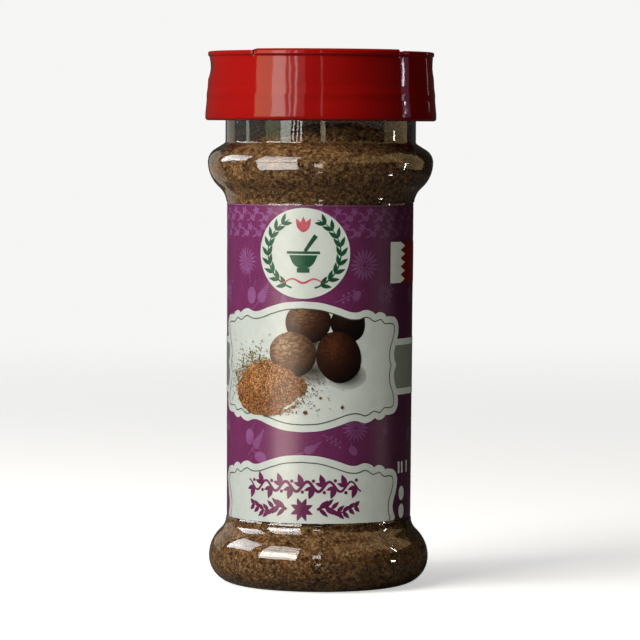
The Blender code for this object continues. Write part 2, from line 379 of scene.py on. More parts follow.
# %% Clear plastic finish
def clear_plastic():
    material, shader = new_material("clear plastic")
    waves = bumped(material, noise(material, here(material), 170.0), 0.03, 0.002)
    set_shader(
        material, shader, Base_Color=(0.95, 0.965, 0.95, 1), Roughness=0.03, IOR=1.5,
        Transmission_Weight=1.0, Normal=waves,
    )
    path = node(material, "LightPath")
    straight = node(material, "BsdfTransparent", Color=(0.93, 0.94, 0.92, 1))
    shown(material, path.outputs["Is Shadow Ray"], shader, straight)
    return material


dress(jar, clear_plastic(), "jar")

# %% [markdown]
# ## The powder
# Ground nutmeg fills the jar out to the wall, so its surface is made to reach a little into the
# plastic: no air shows between them. Its free surface is a low dome with its peak right of the
# middle. Grains finer than rice are relief on this core; loose ones lie on top.

# %% Powder core
MOUND_TOP = np.array([4.0, 80.2]) * MM  # x and z of the peak
FALL_LEFT, FALL_RIGHT, FALL_DEPTH = 12.8, 25.0, 3.4  # metres of fall per square metre
INTO_WALL = 0.12 * MM
UPPER_JAR = 0.8 * SHOULDER_Z  # above this the bore only has the shoulder and the neck


def mound(x, y):
    """Height of the free surface: a dome that falls by a factor times the square of the distance
    from its peak, with settled lumps, small clods and single grains added as lattice noise."""
    across = x - MOUND_TOP[0]
    fall = np.where(across > 0, FALL_RIGHT, FALL_LEFT) * across**2 + FALL_DEPTH * y**2
    lumps = 0.40 * lattice_noise(x, y, 4.5 * MM, 1) + 0.22 * lattice_noise(x, y, 1.7 * MM, 2)
    grains = 0.16 * lattice_noise(x, y, 0.7 * MM, 3)
    return MOUND_TOP[1] - fall + (lumps + grains) * MM


def powder_core():
    """Side: the jar's inner outline, cut at each angle where it meets the mound. Top: rings from
    that edge to the middle, lifted to the mound's height."""
    side = inset(outside, WALL - INTO_WALL)
    side[0] = (side[1, 0], NECK_TOP)
    steps = np.concatenate([[0], np.cumsum(np.linalg.norm(np.diff(side[::-1], axis=0), axis=1))])
    fine = np.linspace(0, steps[-1], 2400)
    r, z = (np.interp(fine, steps, side[::-1, k]) for k in (0, 1))
    x, y, height = np.moveaxis(polar(r[:, None], ring_angles, z[:, None]), -1, 0)
    edge = fine[np.argmax((height > mound(x, y)) & (height > UPPER_JAR), axis=0)]
    rows = np.linspace(0, 1, 190)[:, None] * edge
    wall_r, wall_z = np.interp(rows, fine, r), np.interp(rows, fine, z)
    top = polar(np.linspace(1, 0, 70)[:, None] * wall_r[-1], ring_angles, 0.0)
    top[..., 2] = mound(top[..., 0], top[..., 1])
    core = shell("powder_core", np.concatenate([polar(wall_r, ring_angles, wall_z), top[1:]]), 60)
    return core, wall_r[-1], wall_z[-1]


powder, edge_r, edge_z = powder_core()
print("powder meets the wall from", edge_z.min().round(4), "to", edge_z.max().round(4))


# %% [markdown]
# ## Powder finish
# Seen close, the powder is thousands of grains from near black shell to pale kernel. Two cell
# patterns, one of grains and one of chips, pick a colour for each cell from a ramp, and a third
# makes a few cells much darker or paler. A slow noise lets patches lie darker. The grains' cells
# give the bump.

# %% Powder finish
def powder_finish():
    material, shader = new_material("ground nutmeg")
    place = here(material)
    bent = node(material, "TexNoise", Vector=place, Scale=2600.0, Detail=1.0).outputs["Color"]
    wobble = node(
        material, "VectorMath", {"operation": "MULTIPLY_ADD"}, i0=bent, i1=(0.00016,) * 3, i2=place,
    ).outputs[0]
    fine, from_middle = cell_pattern(material, wobble, 3700.0, 0)
    coarse, _ = cell_pattern(material, wobble, 2100.0, 1)
    rare, _ = cell_pattern(material, wobble, 1500.0, 2)
    fine_colours = ramp(material, fine, [
        (0.00, rgb(30, 20, 14)), (0.18, rgb(74, 50, 31)), (0.50, rgb(112, 82, 53)),
        (0.80, rgb(146, 110, 72)), (1.00, rgb(204, 164, 114)),
    ])
    chip_colours = ramp(material, coarse, [
        (0.00, rgb(26, 17, 12)), (0.20, rgb(80, 50, 30)), (0.50, rgb(116, 78, 48)),
        (0.80, rgb(138, 104, 66)), (1.00, rgb(178, 138, 92)),
    ])
    odd = ramp(material, rare, [
        (0.00, (0.28, 0.26, 0.26)), (0.09, (1.0, 1.0, 1.0)), (0.86, (1.0, 1.0, 1.0)),
        (0.90, (1.25, 0.92, 0.74)), (0.97, (1.5, 1.5, 1.45)),
    ], "CONSTANT")
    both = mixed(material, 0.7, mixed(material, 0.45, fine_colours, chip_colours), odd, "MULTIPLY")
    tone = ramp(material, noise(material, place, 230.0, 3.0), [(0.30, (0.74,) * 3), (0.70, (1.06,) * 3)])
    set_shader(
        material, shader, Base_Color=mixed(material, 1.0, both, tone, "MULTIPLY"), Roughness=0.9,
        Normal=bumped(material, from_middle, 0.6, 0.0002), Specular_IOR_Level=0.06,
    )
    return material


nutmeg_finish = powder_finish()
dress(powder, nutmeg_finish, "nutmeg")

# %% [markdown]
# ## Loose grains and dust
# Single grains lie on the mound, and finer dust clings inside the neck, thickest just above the
# powder. A grain is an octahedron pulled out of shape; all of them are one joined mesh. Their
# places are drawn from a seeded generator, so that every run gives the same heap.

# %% Grains
PUSHED, SQUEEZED = 0.33, 0.4  # how far a grain's corners are moved, and how much it is flattened
DUST_RISE, DUST_THIN = 2.8 * MM, 0.45  # the dust's mean height, and its share of that where thin
OCTAHEDRON = np.array([[1, 0, 0], [0, 1, 0], [-1, 0, 0], [0, -1, 0], [0, 0, 1], [0, 0, -1]], float)
OCTAHEDRON_FACES = np.array([
    [0, 1, 4], [1, 2, 4], [2, 3, 4], [3, 0, 4], [1, 0, 5], [2, 1, 5], [3, 2, 5], [0, 3, 5],
])


def grains(name, centres, sizes, flat_towards, seed):
    """Octahedra at the centres: each corner is pushed by up to a third, the whole is turned by
    a random rotation, then squeezed along flat_towards to 60 percent."""
    draw = np.random.default_rng(seed)
    count = len(centres)
    corners = OCTAHEDRON + draw.uniform(-PUSHED, PUSHED, (count, 6, 3))
    axes = np.linalg.qr(draw.normal(size=(count, 3, 3)))[0]
    axes *= np.sign(np.linalg.det(axes))[:, None, None]
    corners = np.einsum("nij,nkj->nki", axes, corners) * sizes[:, None, None]
    along = np.einsum("nki,ni->nk", corners, flat_towards)
    corners -= SQUEEZED * along[..., None] * flat_towards[:, None, :]
    points = (corners + centres[:, None]).reshape(-1, 3)
    faces = (np.arange(count)[:, None, None] * 6 + OCTAHEDRON_FACES).reshape(-1, 3)
    return mesh_from(name, points, faces)


def mound_grains(count=2600):
    draw = np.random.default_rng(11)
    angle = draw.uniform(0, 2 * np.pi, count)
    reach = np.interp(angle, ring_angles, edge_r, period=2 * np.pi) - 0.25 * MM
    centres = polar(reach * np.sqrt(draw.uniform(0, 1, count)), angle, 0.0)
    sizes = draw.uniform(0.10, 0.30, count) * MM
    centres[:, 2] = mound(centres[:, 0], centres[:, 1]) + 0.25 * sizes
    return grains("loose_grains", centres, sizes, np.tile([0.0, 0.0, 1.0], (count, 1)), 12)


def wall_dust(count=5600):
    """Specks on the inner wall of shoulder and neck. Their height above the powder is drawn from
    an exponential, and a slow noise round the neck thins them out in places."""
    draw = np.random.default_rng(21)
    angle = draw.uniform(0, 2 * np.pi, count)
    patchy = lattice_noise(angle * NECK_R, 0 * angle, 4.0 * MM, 22)
    above = draw.exponential(DUST_RISE, count) * np.where(patchy > 0, 1.0, DUST_THIN)
    height = np.interp(angle, ring_angles, edge_z, period=2 * np.pi) + above
    keep = height < NECK_TOP - 1.5 * MM
    angle, height = angle[keep], height[keep]
    order = np.argsort(inside[:, 1])
    upper = order[inside[order, 1] > UPPER_JAR]
    sizes = draw.uniform(0.05, 0.17, len(angle)) * MM
    radius = np.interp(height, inside[upper, 1], inside[upper, 0]) - 0.4 * sizes
    return grains("wall_dust", polar(radius, angle, height), sizes, polar(1.0, angle, 0.0), 23)


dress(mound_grains(), nutmeg_finish)
dress(wall_dust(), nutmeg_finish)

# %% [markdown]
# ## The cap
# The cap is moulded in one: a skirt with a bead at its lower edge, a soft ledge half way up, and
# a top whose left and right thirds lift on living hinges. Its wall and its top are two grids
# that share the rim. The top's grid lines run parallel to the hinges, so the hinge grooves are
# clean, and the same lines carry on down the wall, where each ends in a notch in the rim.

# %% Cap sizes
CAP_TOP, CAP_LOW = cap_high[2], cap_low[2]
RIM_R, RIM_LOW = 19.71 * MM, 92.0 * MM
UPPER_R, UPPER_LOW_R = 19.50 * MM, 19.76 * MM
LEDGE_Z, LEDGE_HEIGHT, LEDGE_R = 85.3 * MM, 1.3 * MM, 19.94 * MM
BEAD_R, BEAD_Z, BEAD_RISE, EDGE = cap_high[0], 81.9 * MM, 2.4 * MM, 0.5 * MM
BORE_R, CEILING = 18.3 * MM, NECK_TOP + 0.3 * MM
CAP_TURN, FLAP_HALF = math.radians(4.5), math.radians(50)
FLAP_DROP, GROOVE, GROOVE_HALF = 0.25 * MM, 0.5 * MM, 0.5 * MM
NOTCH_HALF, NOTCH_DEPTH = 0.33 * MM, 0.5 * MM
SCOOP_R, SCOOP_DEPTH, SCOOP_Z = 4.0 * MM, 0.45 * MM, 90.1 * MM
CHORD = RIM_R * math.cos(FLAP_HALF)


# %% Cap surfaces
def cap_angles():
    """Angles round the cap, measured from the flaps' line: even steps, with extra ones where the
    hinge grooves and notches need crisp edges. The set is the same mirrored left to right."""
    even = np.linspace(0, np.pi, 181)
    offsets = np.linspace(-1.4, 1.4, 15) * MM / (RIM_R * math.sin(FLAP_HALF))
    return np.unique(np.round(np.concatenate([even, FLAP_HALF + offsets, np.pi - FLAP_HALF - offsets]), 5))


def groove_depth(x):
    """How far the top is lowered at this distance from the middle, along the flaps' line: the
    flaps lie lower as a whole, and a round groove marks each hinge."""
    off = (np.abs(x) - CHORD) / GROOVE_HALF
    groove = GROOVE * np.clip(1 - off**2, 0, 1) ** 0.7
    return np.maximum(groove, FLAP_DROP * (np.abs(x) > CHORD))


def wall_profile():
    """Down the wall, round the lower edge, up the bore and across the ceiling. The rim is a
    quarter round over a plumb face, with a crease under it. Below that the wall's radius is a
    line through five heights: a slight taper, a ramp out over the ledge, a plumb stretch and a
    ramp out over the bead."""
    heights = [BEAD_Z, BEAD_Z + BEAD_RISE, LEDGE_Z, LEDGE_Z + LEDGE_HEIGHT, RIM_LOW - 0.12 * MM]
    steps = [np.linspace(low, high, 12)[1:] for low, high in zip(heights, heights[1:])]
    z = np.concatenate([[BEAD_Z], *steps])[::-1]
    wall = pair(np.interp(z, heights, [BEAD_R, LEDGE_R, LEDGE_R, UPPER_LOW_R, UPPER_R]), z)
    round_rim = arc((RIM_R - EDGE, CAP_TOP - EDGE), EDGE, math.pi / 2, 0, 10)
    crease_steps = np.array([[0, 0.3], [0, 0.12], [-0.04, 0.03], [-0.1, 0]]) * MM
    crease = np.append(crease_steps + (RIM_R, RIM_LOW), [[UPPER_R + 0.03 * MM, RIM_LOW - 0.03 * MM]], axis=0)
    lower_edge = arc((BEAD_R - EDGE, CAP_LOW + EDGE), EDGE, 0, -math.pi / 2, 9)
    bore = np.array([
        [BORE_R + 0.3 * MM, CAP_LOW], [BORE_R, CAP_LOW + 0.6 * MM], [BORE_R, CEILING - 0.3 * MM],
        [BORE_R - 0.3 * MM, CEILING], [0.5 * BORE_R, CEILING], [0.0, CEILING],
    ])
    outer = np.concatenate([round_rim, crease, wall, lower_edge])
    return np.concatenate([outer, bore]), len(outer)


def cap_wall(angles):
    """The wall's profile carried round, with the rim notched and lowered where the flaps are and
    a lying cylinder's hollow pressed in under each flap's lip."""
    profile, outer_count = wall_profile()
    r, z = (np.repeat(profile[:, k : k + 1], len(angles), axis=1) for k in (0, 1))
    outer = np.arange(len(profile))[:, None] < outer_count
    notch_x = np.abs(np.abs(RIM_R * np.cos(angles)) - CHORD) / math.sin(FLAP_HALF)
    in_rim = np.clip((z - RIM_LOW + 0.05 * MM) / (0.15 * MM), 0, 1)
    notch = NOTCH_DEPTH * np.clip(1.25 - (notch_x / NOTCH_HALF) ** 4, 0, 1)
    r = r - np.where(outer, in_rim * notch, 0)
    near_top = np.clip((z - (CAP_TOP - EDGE)) / EDGE, 0, 1)
    z = z - np.where(outer, near_top * groove_depth(r * np.cos(angles)), 0)
    depth = np.sqrt(np.clip(SCOOP_R**2 - (z - SCOOP_Z) ** 2, 0, None))
    scoop_x = UPPER_R + SCOOP_R - SCOOP_DEPTH - depth
    limit = scoop_x / np.maximum(np.abs(np.cos(angles)), 0.2)
    in_scoop = outer & (np.abs(z - SCOOP_Z) < SCOOP_R) & (np.abs(np.cos(angles)) > 0.8)
    in_scoop &= z < RIM_LOW - 0.1 * MM
    return polar(np.where(in_scoop, np.minimum(r, limit), r), angles + CAP_TURN, z)


def make_cap():
    """Wall and top share the rim: each line of the top joins a point of the rim's front half to
    the one behind it."""
    half = cap_angles()
    angles = np.concatenate([half, 2 * np.pi - half[1:-1][::-1]])
    wall = cap_wall(angles)
    front = wall[0, : len(half)]
    back = wall[0, (len(angles) - np.arange(len(half))) % len(angles)]
    top = front + (back - front) * np.linspace(0, 1, 41)[:, None, None]
    top[1:-1, :, 2] = CAP_TOP - groove_depth((RIM_R - EDGE) * np.cos(half))
    points = np.concatenate([wall.reshape(-1, 3), top.reshape(-1, 3)])
    top_quads = quads_of(*top.shape[:2]) + wall.shape[0] * wall.shape[1]
    quads = np.concatenate([quads_of(*wall.shape[:2], wrap=True), top_quads])
    return smooth(mesh_from("red_cap", points, quads), 32)


# %% [markdown]
# ## Red plastic
# Moulded polypropylene: a deep saturated red with a hard gloss, faint flow clouds under the
# surface and hairline scuffs that only show in reflections.

# %% Red plastic finish
def red_plastic():
    material, shader = new_material("red plastic")
    place = here(material)
    clouds = noise(material, place, 60.0, 3.0)
    long_way = node(material, "Mapping", Vector=place, Scale=(1.0, 1.0, 0.25)).outputs[0]
    scuffs = scaled(material, noise(material, long_way, 2200.0), 0.35, 0.75, 0.05, 0.11)
    waves = bumped(material, noise(material, place, 260.0, 1.0), 0.06, 0.001)
    colour = ramp(material, clouds, [(0.3, rgb(155, 12, 10)), (0.7, rgb(172, 17, 13))])
    set_shader(material, shader, Base_Color=colour, Roughness=scuffs, Normal=waves, IOR=1.5)
    return material


dress(make_cap(), red_plastic(), "cap")

# %% [markdown]
# ## The label and its print
# The label is a printed film wrapped once round the waist, its end lapping over its start at the
# back. Flat drawings are made in label coordinates, u round the jar and v up it, and are then
# wrapped: angle = u / radius. Each colour of ink is a film of its own, two hundredths of a
# millimetre above the one it covers, as real overprints lie on each other.

# %% Label sheet
FRONT = -math.pi / 2  # the angle that a viewer in front sees in the middle
LABEL_R = WAIST_HIGH_R
LAYER, SHEET_SINK = 0.02 * MM, 5  # one layer of ink, and how many layers the bare film lies back
SHEET_STEPS, SHEET_ROWS = 540, 28  # points round the film and up it
HALF_ROUND = math.pi * LABEL_R
LAP, LAP_RAMP, LAP_RISE = 4.0 * MM, 1.5 * MM, 1.05 * LABEL_FILM


def climb(past_start):
    """How far the film's end is lifted, at this distance past its start: it rises along the curve
    of smoothstep just before it reaches the start, and stays up over the lap."""
    t = np.clip((past_start + LAP_RAMP) / LAP_RAMP, 0, 1)
    return smoothstep(t) * LAP_RISE * (past_start < LAP)


def wrapped(flat, layer=0):
    """Label coordinates (u, v) in metres to places in space, on the given layer of ink. The
    label's taper is a straight line from its low to its high edge. What is printed where the
    film laps lies on its upper end."""
    u, v = flat[..., 0], flat[..., 1]
    past_start = (u + HALF_ROUND + LAP_RAMP) % (2 * HALF_ROUND) - LAP_RAMP
    r = np.interp(v, [label_low[2], label_high[2]], [WAIST_LOW_R, WAIST_HIGH_R])
    r = r + (layer - SHEET_SINK) * LAYER + (layer > 0) * climb(past_start)
    return polar(r, FRONT + u / LABEL_R, v)


def label_sheet():
    """The film: a rectangle wrapped round, with its lapped end climbing over the first by one
    thickness, given its own thickness by a second, inner sheet that is joined at the edges."""
    u = np.linspace(-HALF_ROUND, HALF_ROUND + LAP, SHEET_STEPS)[:, None]
    v = np.linspace(label_low[2], label_high[2], SHEET_ROWS)
    out = polar(1.0, FRONT + u / LABEL_R, 0.0)
    outer = wrapped(pair(u, v)) + climb(np.minimum(u - HALF_ROUND, 0.0))[..., None] * out
    inner = outer - 0.9 * LABEL_FILM * out
    loop = np.concatenate([outer, inner[:, ::-1]], axis=1)
    rows, ring = loop.shape[:2]
    a = np.arange(SHEET_ROWS)
    end = np.stack([a[:-1], a[1:], ring - 1 - a[1:], ring - 1 - a[:-1]], axis=1)
    quads = np.concatenate([quads_of(rows, ring, wrap=True), end[:, ::-1], end + (rows - 1) * ring])
    return smooth(mesh_from("label_sheet", loop.reshape(-1, 3), quads))


# %% Ink
def ink(name, colour, second=None, scale=400.0):
    """Printed film: satin gloss, a very fine coarseness from the press, and two near tones."""
    material, shader = new_material(name)
    place = here(material)
    cloud = noise(material, place, scale, 3.0)
    tone = ramp(material, cloud, [(0.35, second or dimmed(colour)), (0.65, colour)])
    gloss = scaled(material, noise(material, place, 3500.0, 1.0), 0.3, 0.7, 0.27, 0.36)
    waves = bumped(material, noise(material, place, 120.0), 0.05, 0.001)
    set_shader(material, shader, Base_Color=tone, Roughness=gloss, Normal=waves, IOR=1.5)
    return material


WHITE = rgb(214, 220, 212)
purple_ink = ink("purple ink", rgb(123, 49, 98), rgb(115, 45, 91))
pale_purple_ink = ink("pale purple ink", rgb(152, 94, 145), rgb(142, 78, 130))
white_ink = ink("white ink", WHITE)
dress(label_sheet(), purple_ink, "label")


# %% [markdown]
# ## Drawing helpers
# Every drawing is made of three shapes, each a small grid: a leaf, which is a strip that swells
# and closes along its length; a field, which fans out from its middle to an outline; and a
# stroke, which follows a path with a width. Drawings are in millimetres, u round the jar and v
# up it, and are turned into metres as they are wrapped.

# %% Leaf, field, stroke
RING_STEP = 0.6  # widest gap between the rings of a field


def circle(count):
    """Angles of this many even steps round a circle."""
    return 2 * np.pi * np.arange(count) / count


def spun(x, y, turn):
    """The place (x, y) turned by an angle t: (x cos t - y sin t, x sin t + y cos t)."""
    return pair(x * np.cos(turn) - y * np.sin(turn), x * np.sin(turn) + y * np.cos(turn))


def reached(start, length, angle):
    """The places reached from a start by going these lengths at this angle."""
    return pair(start[0] + length * np.cos(angle), start[1] + length * np.sin(angle))


def spray(u, v, angles, length, width):
    """Rows for leaves() that all start at one place."""
    return [(u, v, angle, length, width) for angle in angles]


def leaves(places, steps=9):
    """Leaves from rows of (u, v, angle, length, width): across the leaf the half width is
    width / 2 times the sine of pi times the place along it, a little fuller near the base."""
    u, v, angle, length, width = np.asarray(places, float).T[:, :, None, None]
    t = np.linspace(0, 1, steps)[:, None]
    across = width / 2 * np.sin(np.pi * t**0.8) * np.array([-1.0, 0.0, 1.0])
    return list(pair(u, v) + spun(length * t, across, angle))


def field(outline, middle=None, rings=None, spine=0.0):
    """The inside of a closed outline, as rings that shrink to its middle. With spine they shrink
    to a level line that reaches this far to each side, so that on a wide frame with notches no
    two spokes cross."""
    middle = outline.mean(axis=0) if middle is None else np.asarray(middle)
    loop = np.concatenate([outline, outline[:1]])
    foot = middle + np.clip(loop - middle, [-spine, 0.0], [spine, 0.0])
    reach = np.linalg.norm(loop - foot, axis=1).max()
    rings = rings or max(2, math.ceil(reach / RING_STEP))
    return foot + np.linspace(1, 0, rings + 1)[:, None, None] * (loop - foot)


def stroke(path, width):
    """A strip along a path; width is one number or one for each point."""
    run = np.gradient(path, axis=0)
    run /= np.linalg.norm(run, axis=1)[:, None]
    side = pair(-run[:, 1], run[:, 0]) * (np.asarray(width) / 2).reshape(-1, 1)
    return np.stack([path - side, path + side], axis=1)


def oval(u, v, half_u, half_v, turn=0.0, steps=72):
    angle = circle(steps)
    return spun(half_u * np.cos(angle), half_v * np.sin(angle), turn) + (u, v)


def block(u0, v0, u1, v1):
    """A rectangle between two corners, with a point about every half millimetre along it."""
    u = np.linspace(u0, u1, max(3, int(2 * abs(u1 - u0))))
    return pair(u[:, None], np.linspace(v0, v1, 5))


def printed(name, drawings, material, layer):
    """All the drawings of one ink as one film, wrapped on the label, every face pointing out."""
    points, quads, count = [], [], 0
    for grid in drawings:
        placed = wrapped(MM * grid, layer).reshape(-1, 3)
        cells = quads_of(*grid.shape[:2])
        corner = placed[cells]
        facing = np.cross(corner[:, 2] - corner[:, 0], corner[:, 3] - corner[:, 1])
        out = corner.mean(axis=1) * (1, 1, 0)
        if np.einsum("ij,ij->", facing, out) < 0:
            cells = cells[:, ::-1]
        points.append(placed)
        quads.append(cells + count)
        count += len(placed)
    piece = close_up(mesh_from(name, np.concatenate(points), np.concatenate(quads)), outward=False)
    piece.data.shade_smooth()
    return dress(piece, material)


# %% [markdown]
# ## Tone-on-tone ornament
# The ground carries two rows of small stars, tulips and curls at the top, and larger blossoms,
# ferns, pods and twigs below, all only a little lighter than the ground.

# %% Ornament rows
ROUND = 2 * math.pi * LABEL_R / MM  # the label's girth, in millimetres
MOTIFS_ROUND = 34
STAR, TULIP = 0.86, 1.35  # length of a star's and of a tulip's petals
THREE_PETALS = np.array([-0.42, 0.0, 0.42])


def ornament_rows():
    """Stars, tulips and curls at an even pitch, the lower row half a pitch further along."""
    petals, curls = [], []
    turn = np.linspace(-0.4, 3.6, 12)
    spiral = (0.86 - 0.12 * turn)[:, None] * pair(np.sin(turn), -np.cos(turn))
    for row, height in enumerate((64.85, 62.15)):
        for k in range(MOTIFS_ROUND):
            u = ROUND * ((k + 0.5 * row) / MOTIFS_ROUND - 0.5)
            petals += spray(u, height + 0.5, 0.3 + 0.5 * k + circle(5), STAR, 0.55 * STAR)
            upright = math.pi / 2 + 0.15 + THREE_PETALS
            petals += spray(u - 0.72, height - 1.3, upright, TULIP, 0.42 * TULIP)
            curls.append(stroke(spiral + (u + 0.98, height - 0.35), 0.32))
    return leaves(petals, 6) + curls


# %% Blossoms and ferns
def blossom(u, v, size):
    """Two rings of narrow petals round a small open middle."""
    outer, petals = circle(18), []
    for angles, start, length, width in ((outer, 0.3, 0.7, 0.15), (outer[::2] + 0.12, 0.1, 0.34, 0.12)):
        petals += [(*reached((u, v), start * size, a), a, length * size, width * size) for a in angles]
    return leaves(petals, 7)


def fern(u, v, size, turn):
    """A bent stem with pairs of leaflets that shorten towards the tip."""
    t = np.linspace(0, 1, 15)
    bend = turn + 0.5 * (t - 0.5)
    path = np.cumsum(reached((0, 0), size / 15, bend), axis=0) + (u, v)
    leaflets = []
    for k in range(5, 15):
        length = size * 0.26 * (1.15 - t[k])
        leaflets += spray(*path[k], (bend[k] - 0.85, bend[k] + 0.85), length, 0.36 * length)
    return leaves(leaflets, 6) + [stroke(path, 0.16)]


def pod(u, v, size, turn):
    """An oval seed case on a stalk."""
    stalk = reached((u, v), np.linspace(0, size, 8), turn)
    return [field(oval(u, v, 0.36 * size, 0.5 * size, turn - 1.2, 28)), stroke(stalk, 0.14)]


def twig(u, v, size, turn):
    """A thin twig with round berries to its left and right by turns."""
    path = reached((u, v), np.linspace(0, size, 9), turn)
    drawn = [stroke(path, 0.14)]
    for k in range(2, 9):
        berry = reached(path[k], 0.16 * size, turn + (0.9 if k % 2 else -0.9))
        drawn.append(field(oval(*berry, 0.06 * size, 0.06 * size, 0, 14), rings=1))
    return drawn


BOTANICALS = [  # kind, u, v, size, and for all but the blossoms a turn in radians
    (blossom, 8.0, 56.2, 2.9), (fern, -13.5, 52.5, 6.5, 1.9), (pod, -13.2, 50.8, 2.9, 1.2),
    (fern, -13.5, 48.0, 7.0, 0.9), (blossom, -14.6, 56.6, 2.6), (twig, 2.6, 49.8, 4.0, 0.4),
    (pod, 6.6, 50.9, 1.9, 0.7), (pod, -13.6, 26.4, 2.8, 1.1), (fern, -14.5, 23.0, 6.4, 0.85),
    (pod, -11.0, 23.0, 2.6, 2.6), (fern, -4.6, 23.6, 5.6, 0.45), (twig, 0.6, 27.2, 3.4, -0.5),
    (blossom, 6.6, 28.3, 2.6), (pod, 6.1, 24.4, 1.9, 1.9), (fern, 11.6, 25.0, 5.2, 1.3),
    (twig, 12.6, 48.6, 4.4, 1.2), (blossom, 12.4, 51.2, 1.9), (fern, -7.0, 46.0, 6.0, 1.5),
    (twig, -2.0, 36.0, 5.0, 1.0), (blossom, 3.0, 40.0, 2.8), (pod, 9.0, 38.0, 2.6, 2.2),
    (fern, -10.0, 33.0, 7.0, 1.2), (blossom, -3.0, 16.5, 2.8), (pod, 10.5, 18.0, 2.6, 1.0),
    (fern, 4.0, 15.0, 6.0, 1.0), (twig, -11.0, 15.5, 5.0, 1.4),
]


def botanicals():
    """The motifs of one third of the label, drawn three times round."""
    drawn = []
    for third in (-1, 0, 1):
        for kind, u, v, *size_and_turn in BOTANICALS:
            drawn += kind(u + third * ROUND / 3, v, *size_and_turn)
    return drawn


printed("print_ornament", ornament_rows() + botanicals(), pale_purple_ink, 1)

# %% [markdown]
# ## White fields
# An oval badge, a scalloped frame for the picture and a second one below it, cut off by the
# label's lower edge. The frame is symmetrical, so a quarter of its outline is drawn: an arch, a
# saddle, two scallops with a sharp notch after each, the corner, and the pinched side.

# %% Frame outline
FRAME_U, FRAME_SPINE, PICTURE_V, NAME_V = -2.95, 11.0, 38.8, 12.48
SCALLOPS = [  # runs of the quarter outline between sharp notches, from the top round to the side
    [(0, 11.2), (3.2, 10.95), (6.0, 10.2), (8.3, 9.42), (9.7, 9.32), (11.1, 9.72), (12.4, 9.45), (13.3, 8.9)],
    [(13.3, 8.9), (13.75, 9.2), (14.5, 9.25), (15.3, 8.95), (15.75, 8.45)],
    [
        (15.75, 8.45), (16.8, 8.5), (18.2, 8.15), (19.05, 7.1), (19.15, 5.8), (18.7, 4.2), (18.0, 2.6),
        (17.95, 1.3), (18.6, 0.0),
    ],
]


def through(points, steps=8):
    """A smooth curve through the points: between two of them it is the cubic whose slopes at its
    ends are half the way from the point before to the point after."""
    p = np.asarray(points, float)
    slope = np.gradient(p, axis=0)
    t = np.linspace(0, 1, steps, endpoint=False)[:, None, None]
    ease = smoothstep(t)
    curve = (1 - ease) * p[:-1] + ease * p[1:]
    curve += (t**3 - 2 * t**2 + t) * slope[:-1] + (t**3 - t**2) * slope[1:]
    return np.concatenate([curve.transpose(1, 0, 2).reshape(-1, 2), p[-1:]])


def frame_outline(centre_v, shrink=0.0):
    """The whole outline from its quarter. With shrink it is moved inwards along its normals, and
    points that come nearer to the outline than that, as they do past a notch, are dropped."""
    quarter = np.concatenate([through(run)[:-1] for run in SCALLOPS] + [SCALLOPS[-1][-1:]])
    half = np.concatenate([quarter, (quarter * (1, -1))[::-1][1:]])
    whole = np.concatenate([half, (half * (-1, 1))[::-1][1:-1]])
    if shrink:
        run = np.roll(whole, -1, axis=0) - np.roll(whole, 1, axis=0)
        run /= np.linalg.norm(run, axis=1)[:, None]
        inner = whole + shrink * pair(run[:, 1], -run[:, 0])
        gap = np.linalg.norm(inner[:, None] - whole[None], axis=2).min(axis=1)
        whole = inner[gap > 0.97 * shrink]
    return whole + (FRAME_U, centre_v)


def above_edge(grid):
    """Cut off at the label's lower edge, by pulling what is below it up to the edge."""
    return pair(grid[..., 0], np.maximum(grid[..., 1], label_low[2] / MM + 0.02))


# %% White fields and grey band
BADGE_U, BADGE_V, BADGE_HALF_U, BADGE_HALF_V = -2.9, 58.2, 8.15, 7.75
BAND_LOW, BAND_HIGH, BAND_RULE = 33.6, 43.3, 1.1
BAND_GAP = 17.0  # from the frame's middle to the band's end, which lies under the frame
BAND_START, BAND_END = FRAME_U + BAND_GAP, FRAME_U - BAND_GAP + ROUND
badge_field = field(oval(BADGE_U, BADGE_V, BADGE_HALF_U, BADGE_HALF_V, steps=120))
frame_fields = [field(frame_outline(v), (FRAME_U, v), spine=FRAME_SPINE) for v in (PICTURE_V, NAME_V)]
band = block(BAND_START, BAND_LOW + BAND_RULE, BAND_END, BAND_HIGH - BAND_RULE)
band_rules = [block(BAND_START, v, BAND_END, v + BAND_RULE) for v in (BAND_LOW, BAND_HIGH - BAND_RULE)]
printed("print_band", [band], ink("grey ink", rgb(128, 134, 124)), 2)
printed("print_white", [badge_field] + [above_edge(grid) for grid in frame_fields] + band_rules, white_ink, 3)

# %% Thin lines inside the frames
RULE_INSET, RULE_WIDTH = 1.15, 0.19


def outline_rule(centre_v):
    """A thin closed line inside a frame: a stroke along the inset outline."""
    strip = stroke(frame_outline(centre_v, RULE_INSET + RULE_WIDTH / 2), RULE_WIDTH)
    return above_edge(np.concatenate([strip, strip[:1]]))


printed("print_rules", [outline_rule(PICTURE_V), outline_rule(NAME_V)], ink("line ink", rgb(70, 86, 74)), 4)

# %% Zigzag patch and small marks
PATCH_U, PATCH_V, PATCH_WIDTH, PATCH_HEIGHT, TEETH = 13.75, 56.5, 11.8, 7.1, 5
TOOTH_TIP, TOOTH_ROOT = 0.39, 0.257  # in parts of the patch's width


def zigzag_patch():
    """A pale field and a red one that meet in a row of teeth."""
    v = PATCH_V + PATCH_HEIGHT * np.linspace(-0.5, 0.5, 2 * TEETH + 1)
    tooth = PATCH_U + np.where(np.arange(2 * TEETH + 1) % 2, TOOTH_TIP, TOOTH_ROOT) * PATCH_WIDTH
    t = np.linspace(0, 1, 14)[:, None]
    return pair(PATCH_U + t * (tooth - PATCH_U), v), pair(tooth + t * (PATCH_U + PATCH_WIDTH - tooth), v)


